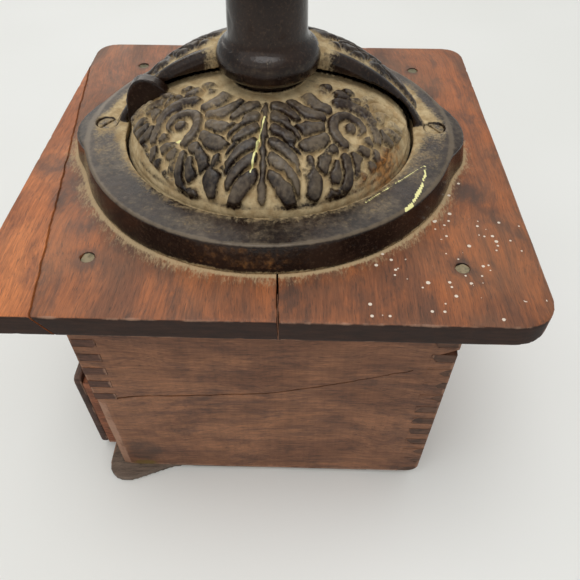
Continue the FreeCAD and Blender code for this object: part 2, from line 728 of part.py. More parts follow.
def crank_arm():
    """Hub with a square hole, ogee arm tapering in width, and a round end for the knob's pin."""
    stations = [CRANK_REACH * i / 8 for i in range(9)]
    upper = [V(-s, -20, arm_height(s) + ARM_THICK / 2) for s in stations]
    lower = [V(-s, -20, arm_height(s) - ARM_THICK / 2) for s in stations]
    sides = [spline(upper), spline(lower)]
    sides += [Part.makeLine(upper[0], lower[0]), Part.makeLine(upper[-1], lower[-1])]
    slab = Part.Face(Part.Wire(Part.__sortEdges__(sides))).extrude(V(0, 40, 0))
    edge = [V(0, 9.0, 0), V(-20, 8.0, 0), V(-55, 5.6, 0), V(-90, 5.0, 0), V(-CRANK_REACH, 5.4, 0)]
    mirrored = [V(p.x, -p.y, 0) for p in edge]
    ends = [Part.makeLine(edge[0], mirrored[0]), Part.makeLine(edge[-1], mirrored[-1])]
    plan = [spline(edge), spline(mirrored)] + ends
    strip = Part.Face(Part.Wire(Part.__sortEdges__(plan))).extrude(Z * 200)
    end = arm_height(CRANK_REACH)
    hub = cone(HUB_R, HUB_R - 1.2, HUB_FOOT, HUB_FOOT + HUB_H)
    eye = rod(ARM_EYE_R, end - ARM_EYE / 2, end + ARM_EYE / 2, -CRANK_REACH)
    half = SQUARE / 2 + 0.04
    cuts = [block((-half, half), (-half, half), (HUB_FOOT - 1, HUB_FOOT + HUB_H + 1))]
    cuts.append(rod(KNOB_PIN_R, end - 10, end + 10, -CRANK_REACH))
    return union([slab.common(strip), hub, eye]).cut(union(cuts))


def thrust_washer():
    hole = rod(SHAFT_R + RUNNING, POST_TOP - 1, HUB_FOOT + 1)
    return rod(WASHER_R, POST_TOP + RUNNING, HUB_FOOT).cut(hole)


def crank_nut():
    """A square nut with its upper corners turned off."""
    foot = HUB_FOOT + HUB_H
    nut = block((-NUT_HALF, NUT_HALF), (-NUT_HALF, NUT_HALF), (foot, foot + NUT))
    crown = cone(NUT_HALF * 1.42, NUT_HALF * 0.9, foot, foot + 1.46 * NUT)
    return about_z(nut.common(crown).cut(rod(TIP_R + PRESSED, foot - 1, foot + NUT + 1)), NUT_TURN)


def knob_pin():
    """The rivet that carries the knob, headed under the arm and over the knob."""
    end = arm_height(CRANK_REACH)
    foot = end - ARM_EYE / 2
    top = knob_foot() + KNOB_H
    shank = rod(KNOB_PIN_R, foot - 0.5, top, -CRANK_REACH)
    under = cone(3.6, 5.2, foot - 1.9, foot, -CRANK_REACH)
    over = cone(5.0, 3.2, top - 0.6, top + 1.2, -CRANK_REACH)
    return union([shank, under, over])


def knob_washer():
    foot = arm_height(CRANK_REACH) + ARM_EYE / 2
    hole = rod(KNOB_PIN_R, foot - 1, foot + 2, -CRANK_REACH)
    return rod(KNOB_WASHER_R, foot, foot + KNOB_WASHER, -CRANK_REACH).cut(hole)


def knob_foot():
    """Height of the grip's lower end, just clear of its washer."""
    return arm_height(CRANK_REACH) + ARM_EYE / 2 + KNOB_WASHER + KNOB_GAP


def knob():
    """The turned wooden grip, free to spin on its pin."""
    foot = knob_foot()
    shape = [
        (7.6, 0.0),
        (8.6, 1.2),
        (8.2, 3.6),
        (7.2, 6.5),
        (8.8, 11.0),
        (13.2, 17.5),
        (15.9, 24.0),
        (15.6, 30.0),
        (12.2, 35.0),
        (6.6, 37.0),
    ]
    profile = spline([yz(r, foot + h) for r, h in shape])
    top = foot + KNOB_H - 1.0
    bore = KNOB_PIN_R + RUNNING
    closing = [yz(6.6, top), yz(6.6, top - 0.8), yz(bore, top - 0.8), yz(bore, foot), yz(7.6, foot)]
    body = lathe([profile] + [Part.makeLine(a, b) for a, b in zip(closing, closing[1:])])
    body.translate(V(-CRANK_REACH, 0, 0))
    return body


# ---------------------------------------------------------------- drawer
def drawer_face():
    """Thin board over the front of the drawer, rounded on its outer edges."""
    board = block((-DRAWER_HALF, DRAWER_HALF), (FRONT_Y, FRONT_Y + FACE_THICK), (DRAWER_FOOT, DRAWER_TOP))
    board = board.makeFillet(FACE_CORNER, [e for e in board.Edges if e.BoundBox.YLength > 1])
    outer = [e for e in board.Edges if e.BoundBox.YMax < FRONT_Y + 0.01]
    return board.makeFillet(FACE_EDGE, outer).cut(knob_screw_shape())


def drawer_side(side):
    x = sorted((side * DRAWER_INNER, side * (DRAWER_INNER + DRAWER_SIDE)))
    return block(x, (FRONT_Y + FACE_THICK, FRONT_Y + DRAWER_LENGTH), (DRAWER_FOOT, DRAWER_SIDE_TOP))


def drawer_front():
    """The drawer box's own front, between its sides and behind the face board."""
    y = (FRONT_Y + FACE_THICK, FRONT_Y + FACE_THICK + DRAWER_SIDE)
    return block((-DRAWER_INNER, DRAWER_INNER), y, (DRAWER_FOOT, DRAWER_SIDE_TOP)).cut(knob_screw_shape())


def drawer_back():
    back = FRONT_Y + DRAWER_LENGTH
    z = (DRAWER_BOTTOM_Z + DRAWER_BOTTOM, DRAWER_BACK_TOP)
    return block((-DRAWER_INNER, DRAWER_INNER), (back - DRAWER_SIDE, back), z)


def drawer_bottom():
    y = (FRONT_Y + FACE_THICK + DRAWER_SIDE, FRONT_Y + DRAWER_LENGTH)
    return block((-DRAWER_INNER, DRAWER_INNER), y, (DRAWER_BOTTOM_Z, DRAWER_BOTTOM_Z + DRAWER_BOTTOM))


def drawer_brads():
    """Small nails through the drawer sides into the front and the back."""
    half_thick = DRAWER_SIDE / 2
    brads = []
    for side in SIDES:
        for y in (FRONT_Y + FACE_THICK + half_thick, FRONT_Y + DRAWER_LENGTH - half_thick):
            for z in BRAD_HEIGHTS:
                start = V(side * (DRAWER_INNER + DRAWER_SIDE), y, z)
                brads.append(Part.makeCylinder(BRAD_R, BRAD, start, V(-side, 0, 0)))
    return brads


def along_front(shape):
    """Turns an upright lathe shape to point out of the drawer front, its foot on the front's face."""
    moved = shape.copy()
    moved.rotate(V(0, 0, 0), V(1, 0, 0), 90)
    moved.translate(V(0, FRONT_Y, KNOB_Z))
    return moved


def drawer_knob():
    """A small turned knob on the drawer front."""
    shape = [
        (7.5, 0.0),
        (6.4, 2.2),
        (5.4, 5.0),
        (6.6, 8.0),
        (9.8, 11.0),
        (11.0, 14.2),
        (9.4, 17.2),
        (5.0, 18.9),
    ]
    profile = spline([yz(r, h) for r, h in shape])
    closing = [yz(*shape[-1]), yz(0, shape[-1][1] + 0.4), yz(0, 0), yz(*shape[0])]
    body = lathe([profile] + [Part.makeLine(a, b) for a, b in zip(closing, closing[1:])])
    return along_front(body).cut(knob_screw_shape())


def knob_screw_shape():
    """The screw that holds the drawer knob from inside the drawer."""
    neck = KNOB_SCREW_HEAD + COUNTERSINK * (SCREW_HEAD_R - SCREW_R)
    head = cone(SCREW_HEAD_R, SCREW_R, KNOB_SCREW_HEAD, neck)
    shank = rod(SCREW_R, neck, KNOB_SCREW_TIP - 4.0)
    tip = cone(SCREW_R, 0.3, KNOB_SCREW_TIP - 4.0, KNOB_SCREW_TIP)
    return along_front(union([head, shank, tip]))


def knob_screw():
    slot = block((-SCREW_HEAD_R, SCREW_HEAD_R), (-0.45, 0.45), (KNOB_SCREW_HEAD, KNOB_SCREW_HEAD + 1.0))
    return knob_screw_shape().cut(along_front(slot))


# ---------------------------------------------------------------- assembly
def build():
    """Every sub-part in the row frame, by node name."""
    nails = top_nails()
    nail_cut = top_nail_holes(nails)
    foot_nails = base_nails()
    foot_cut = union(foot_nails)
    brads = drawer_brads()
    brad_cut = union(brads)
    screws = casting_screws()
    bowl_screw_cut = raised(union(bowl_screw_shapes(slotted=False)))
    top = whole_top().cut(nail_cut).cut(union(screws)).cut(bowl_screw_cut)
    top_clear = top.cut(split_cut(SPLIT_GAP / 2))
    strip = top.common(split_cut(-SPLIT_GAP / 2))

    envelope = worn_envelope()

    parts = {
        "base_board": base_board().cut(foot_cut),
        "right_side_board": side_board(1).common(envelope).cut(finger_chip()).cut(nail_cut).cut(foot_cut),
        "left_side_board": side_board(-1).common(envelope).cut(nail_cut).cut(foot_cut),
        "front_board": front_board().cut(nail_cut),
        "back_board": back_board().common(envelope).cut(nail_cut).cut(foot_cut),
        "top_board": top_clear,
        "top_board_split_strip": strip,
        "top_board_nails": Part.makeCompound(nails),
        "base_board_nails": Part.makeCompound(foot_nails),
        "hopper_casting": raised(hopper_casting()),
        "casting_screws": Part.makeCompound(screws),
        "hopper_cover": raised(hopper_cover()),
        "grinding_bowl": raised(grinding_bowl()),
        "bowl_screws": Part.makeCompound([raised(s) for s in bowl_screw_shapes(slotted=True)]),
        "grinding_burr": raised(grinding_burr()),
        "burr_pin": raised(cross_pin(PIN_LENGTH)),
        "crank_shaft": raised(crank_shaft()),
        "bearing_bridge": raised(bridge()),
        "bridge_screws": Part.makeCompound(bridge_screws()),
        "adjusting_screw": raised(adjusting_screw()),
        "adjuster_lock_nut": raised(lock_nut()),
        "thrust_washer": raised(thrust_washer()),
        "crank_arm": raised(crank_arm()),
        "crank_nut": raised(crank_nut()),
        "crank_knob": raised(knob()),
        "crank_knob_pin": raised(knob_pin()),
        "crank_knob_washer": raised(knob_washer()),
        "drawer_face": drawer_face(),
        "drawer_front": drawer_front().cut(brad_cut),
        "drawer_left_side": drawer_side(-1).cut(brad_cut),
        "drawer_right_side": drawer_side(1).cut(brad_cut),
        "drawer_back": drawer_back().cut(brad_cut),
        "drawer_bottom": drawer_bottom(),
        "drawer_brads": Part.makeCompound(brads),
        "drawer_knob": drawer_knob(),
        "drawer_knob_screw": knob_screw(),
    }
    return parts


def main():
    os.makedirs("parts", exist_ok=True)
    for name, shape in build().items():
        if not shape.isValid() or not shape.Solids:
            raise ValueError(f"{name} is not a valid solid")
        shape.exportStep(f"parts/{name}.step")


main()
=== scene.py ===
import json
import math

import bmesh
import bpy
import numpy as np
from mathutils import Matrix, Vector


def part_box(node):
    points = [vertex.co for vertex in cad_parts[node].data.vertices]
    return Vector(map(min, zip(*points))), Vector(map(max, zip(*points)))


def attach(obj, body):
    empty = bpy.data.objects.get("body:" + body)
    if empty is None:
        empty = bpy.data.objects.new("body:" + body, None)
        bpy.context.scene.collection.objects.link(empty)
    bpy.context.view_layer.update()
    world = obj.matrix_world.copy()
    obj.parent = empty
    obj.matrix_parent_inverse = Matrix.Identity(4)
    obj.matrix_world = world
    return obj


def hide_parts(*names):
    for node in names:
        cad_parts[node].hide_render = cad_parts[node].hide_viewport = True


# An antique box coffee mill: worn wooden box and top board, blackened cast-iron hopper with floral relief
# on its turning cover, dust in the recesses, and a cranked shaft. Lengths are in metres; MM is one millimetre.

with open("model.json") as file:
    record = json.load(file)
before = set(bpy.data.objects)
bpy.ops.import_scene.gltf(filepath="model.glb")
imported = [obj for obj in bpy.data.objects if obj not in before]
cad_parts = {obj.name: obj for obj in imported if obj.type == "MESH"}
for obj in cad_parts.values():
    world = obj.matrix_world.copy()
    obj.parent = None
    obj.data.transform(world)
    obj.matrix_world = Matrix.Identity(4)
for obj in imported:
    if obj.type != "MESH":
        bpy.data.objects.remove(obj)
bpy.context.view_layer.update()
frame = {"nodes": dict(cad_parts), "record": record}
MM = 0.001

BOX_LOW, BOX_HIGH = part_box("right_side_board")
TOP_LOW, TOP_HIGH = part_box("top_board")
STRIP_LOW, STRIP_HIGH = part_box("top_board_split_strip")
COVER_LOW, COVER_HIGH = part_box("hopper_cover")
CAST_LOW, CAST_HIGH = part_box("hopper_casting")
DECK = TOP_HIGH.z  # upper face of the top board
BOARD_HALF = TOP_HIGH.x
BOX_HALF = BOX_HIGH.x
COVER_R = COVER_HIGH.x
COVER_EQUATOR = 7.8 * MM  # height over the deck at which the cover's side stands upright
COVER_RISE = 25.0 * MM
OPENING_R = COVER_R + 0.8 * MM
RIDGE_H = 10.7 * MM  # the foot ring's highest edge over the deck


# ---------------------------------------------------------------- numbers and noise
def smoothstep(low, high, value):
    t = np.clip((value - low) / (high - low), 0.0, 1.0)
    return t * t * (3.0 - 2.0 * t)


def lattice(cell, seed):
    """A repeatable random value from -1 to 1 for each integer cell."""
    h = (cell[..., 0] * 374761393 + cell[..., 1] * 668265263 + cell[..., 2] * 1440662683 + seed * 974634777)
    h = h & 0xFFFFFFFF
    h = ((h ^ (h >> 13)) * 1274126177) & 0xFFFFFFFF
    return ((h ^ (h >> 16)) & 0xFFFF) / 32767.5 - 1.0


def noise(points, size, seed=0, octaves=1):
    """Smooth random values from about -1 to 1 whose features are size metres, or (x, y, z) metres, wide."""
    total = np.zeros(len(points))
    gain = 1.0
    scaled = points / np.asarray(size, float)
    for octave in range(octaves):
        base = np.floor(scaled).astype(np.int64)
        t = scaled - base
        t = t * t * (3.0 - 2.0 * t)
        value = np.zeros(len(points))
        for corner in np.ndindex(2, 2, 2):
            offset = np.array(corner)
            weight = np.prod(np.where(offset, t, 1.0 - t), axis=1)
            value += weight * lattice(base + offset, seed + octave)
        total += gain * value
        gain *= 0.5
        scaled = scaled * 2.03 + 7.1
    return total


# ---------------------------------------------------------------- meshes
def new_object(name, verts, faces):
    mesh = bpy.data.meshes.new(name)
    mesh.from_pydata([tuple(v) for v in verts], [], faces)
    mesh.update()
    obj = bpy.data.objects.new(name, mesh)
    bpy.context.scene.collection.objects.link(obj)
    return obj


def weld(obj):
    bm = bmesh.new()
    bm.from_mesh(obj.data)
    bmesh.ops.remove_doubles(bm, verts=bm.verts, dist=1e-6)
    bmesh.ops.recalc_face_normals(bm, faces=bm.faces)
    bm.to_mesh(obj.data)
    bm.free()


def apply_modifiers(obj):
    depsgraph = bpy.context.evaluated_depsgraph_get()
    depsgraph.update()
    mesh = bpy.data.meshes.new_from_object(obj.evaluated_get(depsgraph))
    obj.modifiers.clear()
    obj.data = mesh


def remesh(obj, voxel, smoothing=0):
    """Rebuilds the surface as even quads, which also rounds every corner by about one voxel."""
    modifier = obj.modifiers.new("even", "REMESH")
    modifier.mode = "VOXEL"
    modifier.voxel_size = voxel
    modifier.use_smooth_shade = True
    if smoothing:
        smooth = obj.modifiers.new("smooth", "SMOOTH")
        smooth.iterations = smoothing
        smooth.factor = 0.5
    apply_modifiers(obj)


def gridded(obj, step, bevel=0.3 * MM):
    """Splits flat faces into small quads that can be worn, keeping corners crisp but for a small bevel."""
    bm = bmesh.new()
    bm.from_mesh(obj.data)
    bmesh.ops.dissolve_limit(bm, angle_limit=0.02, verts=bm.verts, edges=bm.edges)
    co = np.array([v.co for v in bm.verts])
    for axis in range(3):
        normal = [float(axis == i) for i in range(3)]
        for at in np.arange(co[:, axis].min() + step, co[:, axis].max() - 0.3 * step, step):
            point = [n * at for n in normal]
            geometry = bm.verts[:] + bm.edges[:] + bm.faces[:]
            bmesh.ops.bisect_plane(bm, geom=geometry, plane_co=point, plane_no=normal, dist=1e-6)
    bm.to_mesh(obj.data)
    bm.free()
    rounding = obj.modifiers.new("rounding", "BEVEL")
    rounding.limit_method = "ANGLE"
    rounding.angle_limit = math.radians(40)
    rounding.width = bevel
    rounding.segments = 2
    finer = obj.modifiers.new("finer", "SUBSURF")
    finer.subdivision_type = "SIMPLE"
    finer.levels = 2
    apply_modifiers(obj)
    bm = bmesh.new()
    bm.from_mesh(obj.data)
    for face in bm.faces:
        face.smooth = True
    for edge in bm.edges:
        edge.smooth = len(edge.link_faces) == 2 and edge.calc_face_angle() < math.radians(18)
    bm.to_mesh(obj.data)
    bm.free()


def cut(obj, cutter):
    """Takes the cutter's solid out of the object."""
    modifier = obj.modifiers.new("cut", "BOOLEAN")
    modifier.object = cutter
    modifier.operation = "DIFFERENCE"
    modifier.solver = "MANIFOLD"
    apply_modifiers(obj)
    bpy.data.objects.remove(cutter)


def coordinates(obj):
    co = np.zeros(len(obj.data.vertices) * 3, np.float32)
    obj.data.vertices.foreach_get("co", co)
    return co.reshape(-1, 3).astype(float)


def normals(obj):
    out = np.zeros(len(obj.data.vertices) * 3, np.float32)
    obj.data.vertex_normals.foreach_get("vector", out)
    return out.reshape(-1, 3).astype(float)


def place(obj, co):
    obj.data.vertices.foreach_set("co", co.astype(np.float32).ravel())
    obj.data.update()


def store(obj, name, values):
    """Keeps a value from 0 to 1 on each vertex for the materials to read."""
    attribute = obj.data.attributes.get(name) or obj.data.attributes.new(name, "FLOAT", "POINT")
    attribute.data.foreach_set("value", np.clip(values, 0.0, 1.0).astype(np.float32))


def shade_smooth(obj, smooth=True):
    obj.data.polygons.foreach_set("use_smooth", [smooth] * len(obj.data.polygons))
    obj.data.update()


def copy_of(node, name):
    """A new piece with the CAD node's mesh."""
    obj = bpy.data.objects.new(name, frame["nodes"][node].data.copy())
    bpy.context.scene.collection.objects.link(obj)
    weld(obj)
    return obj


def finish_piece(obj, node, body, material):
    obj.data.materials.clear()
    obj.data.materials.append(material)
    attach(obj, body)
    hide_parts(node)
    return obj


def prism(name, outline, low, high, lean=(0.0, 0.0)):
    """A closed prism over a plan outline of (x, y) points; lean moves its lower end sideways."""
    n = len(outline)
    verts = [(x + lean[0], y + lean[1], low) for x, y in outline] + [(x, y, high) for x, y in outline]
    faces = [tuple(range(n - 1, -1, -1)), tuple(range(n, 2 * n))]
    faces += [(i, (i + 1) % n, n + (i + 1) % n, n + i) for i in range(n)]
    obj = new_object(name, verts, faces)
    weld(obj)
    return obj


def circle(radius, x=0.0, y=0.0, steps=96):
    angles = [2 * math.pi * i / steps for i in range(steps)]
    return [(x + radius * math.cos(a), y + radius * math.sin(a)) for a in angles]


def resample(points, step):
    """Points about step apart along a smooth curve through the given ones."""
    p = np.asarray(points, float)
    p = np.vstack([2 * p[0] - p[1], p, 2 * p[-1] - p[-2]])
    out = []
    for i in range(1, len(p) - 2):
        a, b, c, d = p[i - 1 : i + 3]
        count = max(2, int(np.linalg.norm((c - b)[:3]) / step))
        for t in np.arange(count) / count:
            out.append(0.5 * (2 * b + (c - a) * t + (2 * a - 5 * b + 4 * c - d) * t**2
                              + (3 * b - a - 3 * c + d) * t**3))
    out.append(p[-2])
    return np.array(out)


def crack(name, path, outward, width, end_width, depth, wobble, seed):
    """A jagged wedge along path that opens outwards, for cutting a crack into a board."""
    out = np.asarray(outward, float)
    p = resample(path, 1.2 * MM)
    tangent = np.gradient(p, axis=0)
    across = np.cross(out, tangent)
    across /= np.linalg.norm(across, axis=1)[:, None]
    jitter = noise(p, 2.5 * MM, seed) + 0.6 * noise(p, 0.9 * MM, seed + 5)
    p = p + across * (wobble * jitter)[:, None]
    widths = np.linspace(width, end_width, len(p)) * (1.0 + 0.35 * noise(p, 4 * MM, seed + 9))
    lift = 1.0 * MM
    ring = []
    for side, height, share in ((-1, lift, 0.5), (1, lift, 0.5), (1, -depth, 0.12), (-1, -depth, 0.12)):
        ring.append(p + across * (side * share * widths)[:, None] + out * height)
    verts = np.stack(ring, axis=1).reshape(-1, 3)
    faces = [(0, 1, 2, 3)]
    for i in range(len(p) - 1):
        for k in range(4):
            a, b = 4 * i + k, 4 * i + (k + 1) % 4
            faces.append((a, a + 4, b + 4, b))
    last = 4 * (len(p) - 1)
    faces.append((last + 3, last + 2, last + 1, last))
    obj = new_object(name, verts, faces)
    weld(obj)
    return obj


# ---------------------------------------------------------------- materials
def linear(r, g, b):
    """A colour from display values of 0 to 255."""
    return tuple(((c / 255 + 0.055) / 1.055) ** 2.4 if c > 10 else c / 255 / 12.92 for c in (r, g, b)) + (1.0,)


class Graph:
    """Builds one node-based material; every method returns the socket that carries its result."""

    def __init__(self, name):
        self.material = bpy.data.materials.new(name)
        self.material.use_nodes = True
        self.tree = self.material.node_tree
        self.tree.nodes.clear()
        self.shader = self.node("ShaderNodeBsdfPrincipled")
        output = self.node("ShaderNodeOutputMaterial")
        self.tree.links.new(self.shader.outputs[0], output.inputs["Surface"])
        self.place = self.node("ShaderNodeTexCoord").outputs["Object"]
        self.normal = self.node("ShaderNodeNewGeometry").outputs["Normal"]

    def node(self, kind, **settings):
        made = self.tree.nodes.new(kind)
        for key, value in settings.items():
            setattr(made, key, value)
        return made

    def feed(self, socket, value):
        if isinstance(value, bpy.types.NodeSocket):
            self.tree.links.new(value, socket)
        else:
            socket.default_value = value

    def set(self, **inputs):
        for key, value in inputs.items():
            self.feed(self.shader.inputs[key.replace("_", " ")], value)

    def math(self, operation, a, b=0.0, clamp=False):
        made = self.node("ShaderNodeMath", operation=operation, use_clamp=clamp)
        self.feed(made.inputs[0], a)
        self.feed(made.inputs[1], b)
        return made.outputs[0]

    def scaled(self, vector, factors):
        made = self.node("ShaderNodeVectorMath", operation="MULTIPLY")
        self.feed(made.inputs[0], vector)
        made.inputs[1].default_value = factors
        return made.outputs[0]

    def shifted(self, vector, value, factors):
        """vector plus a number times factors."""
        made = self.node("ShaderNodeVectorMath", operation="MULTIPLY_ADD")
        made.inputs[1].default_value = factors
        self.feed(made.inputs[0], value)
        self.feed(made.inputs[2], vector)
        return made.outputs[0]

    def noise(self, scale, vector=None, detail=3.0, roughness=0.55, distortion=0.0):
        made = self.node("ShaderNodeTexNoise")
        self.feed(made.inputs["Vector"], self.place if vector is None else vector)
        made.inputs["Scale"].default_value = scale
        made.inputs["Detail"].default_value = detail
        made.inputs["Roughness"].default_value = roughness
        made.inputs["Distortion"].default_value = distortion
        return made.outputs["Fac"]

    def cells(self, scale, vector=None):
        made = self.node("ShaderNodeTexVoronoi")
        self.feed(made.inputs["Vector"], self.place if vector is None else vector)
        made.inputs["Scale"].default_value = scale
        return made.outputs["Distance"], made.outputs["Color"]

    def rise(self, value, low, high, out_low=0.0, out_high=1.0):
        """Maps low..high smoothly to out_low..out_high."""
        made = self.node("ShaderNodeMapRange", interpolation_type="SMOOTHSTEP")
        self.feed(made.inputs[0], value)
        for i, number in enumerate((low, high, out_low, out_high)):
            made.inputs[i + 1].default_value = number
        return made.outputs[0]

    def mix(self, factor, a, b, blend="MIX"):
        made = self.node("ShaderNodeMix", data_type="RGBA", blend_type=blend)
        self.feed(made.inputs[0], factor)
        self.feed(made.inputs[6], a)
        self.feed(made.inputs[7], b)
        return made.outputs[2]

    def towards(self, factor, a, b):
        """A number that goes from a to b as factor goes from 0 to 1."""
        made = self.node("ShaderNodeMix", data_type="FLOAT")
        self.feed(made.inputs[0], factor)
        self.feed(made.inputs[2], a)
        self.feed(made.inputs[3], b)
        return made.outputs[0]

    def attribute(self, name):
        return self.node("ShaderNodeAttribute", attribute_name=name).outputs["Fac"]

    def split(self, vector):
        made = self.node("ShaderNodeSeparateXYZ")
        self.feed(made.inputs[0], vector)
        return made.outputs

    def bump(self, height, strength, distance, after=None):
        made = self.node("ShaderNodeBump")
        made.inputs["Strength"].default_value = strength
        made.inputs["Distance"].default_value = distance
        self.feed(made.inputs["Height"], height)
        if after is not None:
            self.feed(made.inputs["Normal"], after)
        return made.outputs["Normal"]


AXES = {"X": 0, "Y": 1, "Z": 2}


def stretch(axis, along, across):
    factors = [across] * 3
    factors[AXES[axis]] = along
    return tuple(factors)


def wood(name, grain, light, middle, dark, end, gloss=0.45, figure=1.0, dust=None, speckled=False, sawn=0.0,
         film=0.0):
    """Aged wood with fibres along the grain axis, blotchy stain, pores, pale rubbed edges that on the top board also
    paint a highlight line, grime and dust.
    """
    g = Graph(name)
    warp = g.math("SUBTRACT", g.noise(9.0, detail=2.0), 0.5)
    bent = g.shifted(g.place, warp, stretch(grain, 0.0, 0.030))
    broad = g.noise(1.0, g.scaled(bent, stretch(grain, 15.0, 34.0)), detail=5.0, roughness=0.6, distortion=0.4)
    blotch = g.noise(1.0, g.scaled(bent, stretch(grain, 48.0, 105.0)), detail=6.0, roughness=0.66, distortion=0.4)
    bands = g.noise(1.0, g.scaled(bent, stretch(grain, 7.0, 170.0)), detail=4.0, roughness=0.62)
    fine = g.noise(1.0, g.scaled(bent, stretch(grain, 60.0, 900.0)), detail=5.0, roughness=0.72)
    fibres = g.noise(1.0, g.scaled(bent, stretch(grain, 170.0, 2300.0)), detail=3.0, roughness=0.7)
    pores = g.rise(g.noise(1.0, g.scaled(bent, stretch(grain, 240.0, 2900.0)), detail=1.0), 0.61, 0.70)

    colour = g.mix(g.rise(broad, 0.38, 0.62), light, middle)
    glow = g.noise(1.0, g.scaled(bent, stretch(grain, 20.0, 42.0)), detail=3.0)
    colour = g.mix(g.rise(glow, 0.48, 0.72, 0.0, 0.55), colour, light)
    colour = g.mix(g.math("MULTIPLY", g.rise(blotch, 0.45, 0.68), 0.66), colour, dark)
    colour = g.mix(g.math("MULTIPLY", g.rise(bands, 0.46, 0.68), 0.36 * figure), colour, dark)
    colour = g.mix(1.0, colour, g.rise(fine, 0.28, 0.74, 1.28, 0.66), blend="MULTIPLY")
    colour = g.mix(1.0, colour, g.rise(fibres, 0.30, 0.72, 1.12, 0.84), blend="MULTIPLY")
    colour = g.mix(g.math("MULTIPLY", pores, 0.5), colour, linear(36, 21, 15))
    height = g.math("ADD", g.math("MULTIPLY", fibres, 0.5), g.math("MULTIPLY", fine, 0.6))
    height = g.math("SUBTRACT", height, g.math("MULTIPLY", pores, 0.7))
    if sawn:
        ripple = g.noise(1.0, g.scaled(g.place, stretch(grain, 620.0, 30.0)), detail=3.0, distortion=0.3)
        colour = g.mix(sawn, colour, g.rise(ripple, 0.35, 0.68, 1.15, 0.75), blend="MULTIPLY")
        height = g.math("ADD", height, g.math("MULTIPLY", ripple, 0.8 * sawn))

    if film:
        cloud = g.noise(32.0, detail=4.0, roughness=0.6)
        colour = g.mix(g.rise(cloud, 0.35, 0.65, 0.4 * film, 1.4 * film), colour, linear(152, 126, 98))

    end_face = g.rise(g.math("ABSOLUTE", g.split(g.normal)[AXES[grain]]), 0.55, 0.8)
    end_noise = g.noise(1.0, g.scaled(g.place, (110.0, 110.0, 800.0)), detail=5.0, roughness=0.7)
    end_colour = g.mix(1.0, end, g.rise(end_noise, 0.3, 0.7, 1.3, 0.65), blend="MULTIPLY")
    end_colour = g.mix(g.math("MULTIPLY", g.rise(blotch, 0.45, 0.66), 0.5), end_colour, linear(34, 24, 21))
    colour = g.mix(end_face, colour, end_colour)

    grime = g.attribute("grime")
    grime = g.math("ADD", grime, g.math("MULTIPLY", g.math("SUBTRACT", blotch, 0.5), 0.9))
    colour = g.mix(g.math("MULTIPLY", g.rise(grime, 0.20, 0.90), 0.75), colour, linear(62, 47, 39))
    # Pale rubbed edges; along the top board's upper edge this pale line is also a painted highlight.
    wear_and_highlight = g.math("ADD", g.attribute("wear_and_highlight"), g.math("MULTIPLY", g.math("SUBTRACT", g.noise(330.0), 0.5), 0.8))
    colour = g.mix(g.math("MULTIPLY", g.rise(wear_and_highlight, 0.45, 0.85), 0.6), colour, linear(168, 130, 106))

    rough = g.rise(broad, 0.3, 0.7, 1.0 - gloss - 0.07, 1.0 - gloss + 0.10)
    if dust is not None:
        grit = g.noise(1.0, g.scaled(g.place, stretch(grain, 480.0, 1300.0)), detail=5.0, roughness=0.75)
        powder = g.math("ADD", g.attribute("dust"), g.math("MULTIPLY", g.math("SUBTRACT", grit, 0.5), 1.7))
        powder = g.rise(powder, 0.40, 1.0)
        colour = g.mix(g.math("MULTIPLY", powder, 0.85), colour, dust)
        rough = g.math("ADD", rough, g.math("MULTIPLY", powder, 0.3), clamp=True)
    rough = g.towards(end_face, rough, 0.85)
    if speckled:
        colour = g.mix(specks(g), colour, linear(222, 208, 190))
    normal = g.bump(height, 0.35, 0.11 * MM)
    normal = g.bump(g.noise(60.0, detail=3.0), 0.22, 0.6 * MM, after=normal)
    g.set(Base_Color=colour, Roughness=rough, Normal=normal)
    g.shader.inputs["Specular IOR Level"].default_value = 0.42
    return g.material


def specks(g):
    """Small paint spatters over the right front of the top board."""
    x, y, z = g.split(g.place)
    region = g.math("MULTIPLY", g.rise(x, 5 * MM, 55 * MM), g.rise(z, DECK - 1.5 * MM, DECK - 0.8 * MM))
    region = g.math("MULTIPLY", region, g.math("MULTIPLY", g.rise(y, 22 * MM, 58 * MM), g.rise(y, 96 * MM, 76 * MM)))
    patchy = g.rise(g.noise(55.0, detail=2.0), 0.38, 0.58, 0.3, 1.0)
    region = g.math("MULTIPLY", region, patchy)
    found = None
    for scale, power, reach in ((170.0, 1.5, 0.18), (400.0, 1.3, 0.30)):
        distance, random = g.cells(scale, g.scaled(g.place, (1.0, 1.0, 0.0)))
        red, green, blue = g.split(random)
        size = g.math("MULTIPLY", g.math("POWER", red, power), reach)
        dot = g.math("MULTIPLY", g.math("LESS_THAN", distance, size), g.math("LESS_THAN", green, region))
        found = dot if found is None else g.math("MAXIMUM", found, dot)
    return found


DUST = linear(196, 170, 126)
RUST = linear(158, 92, 38)


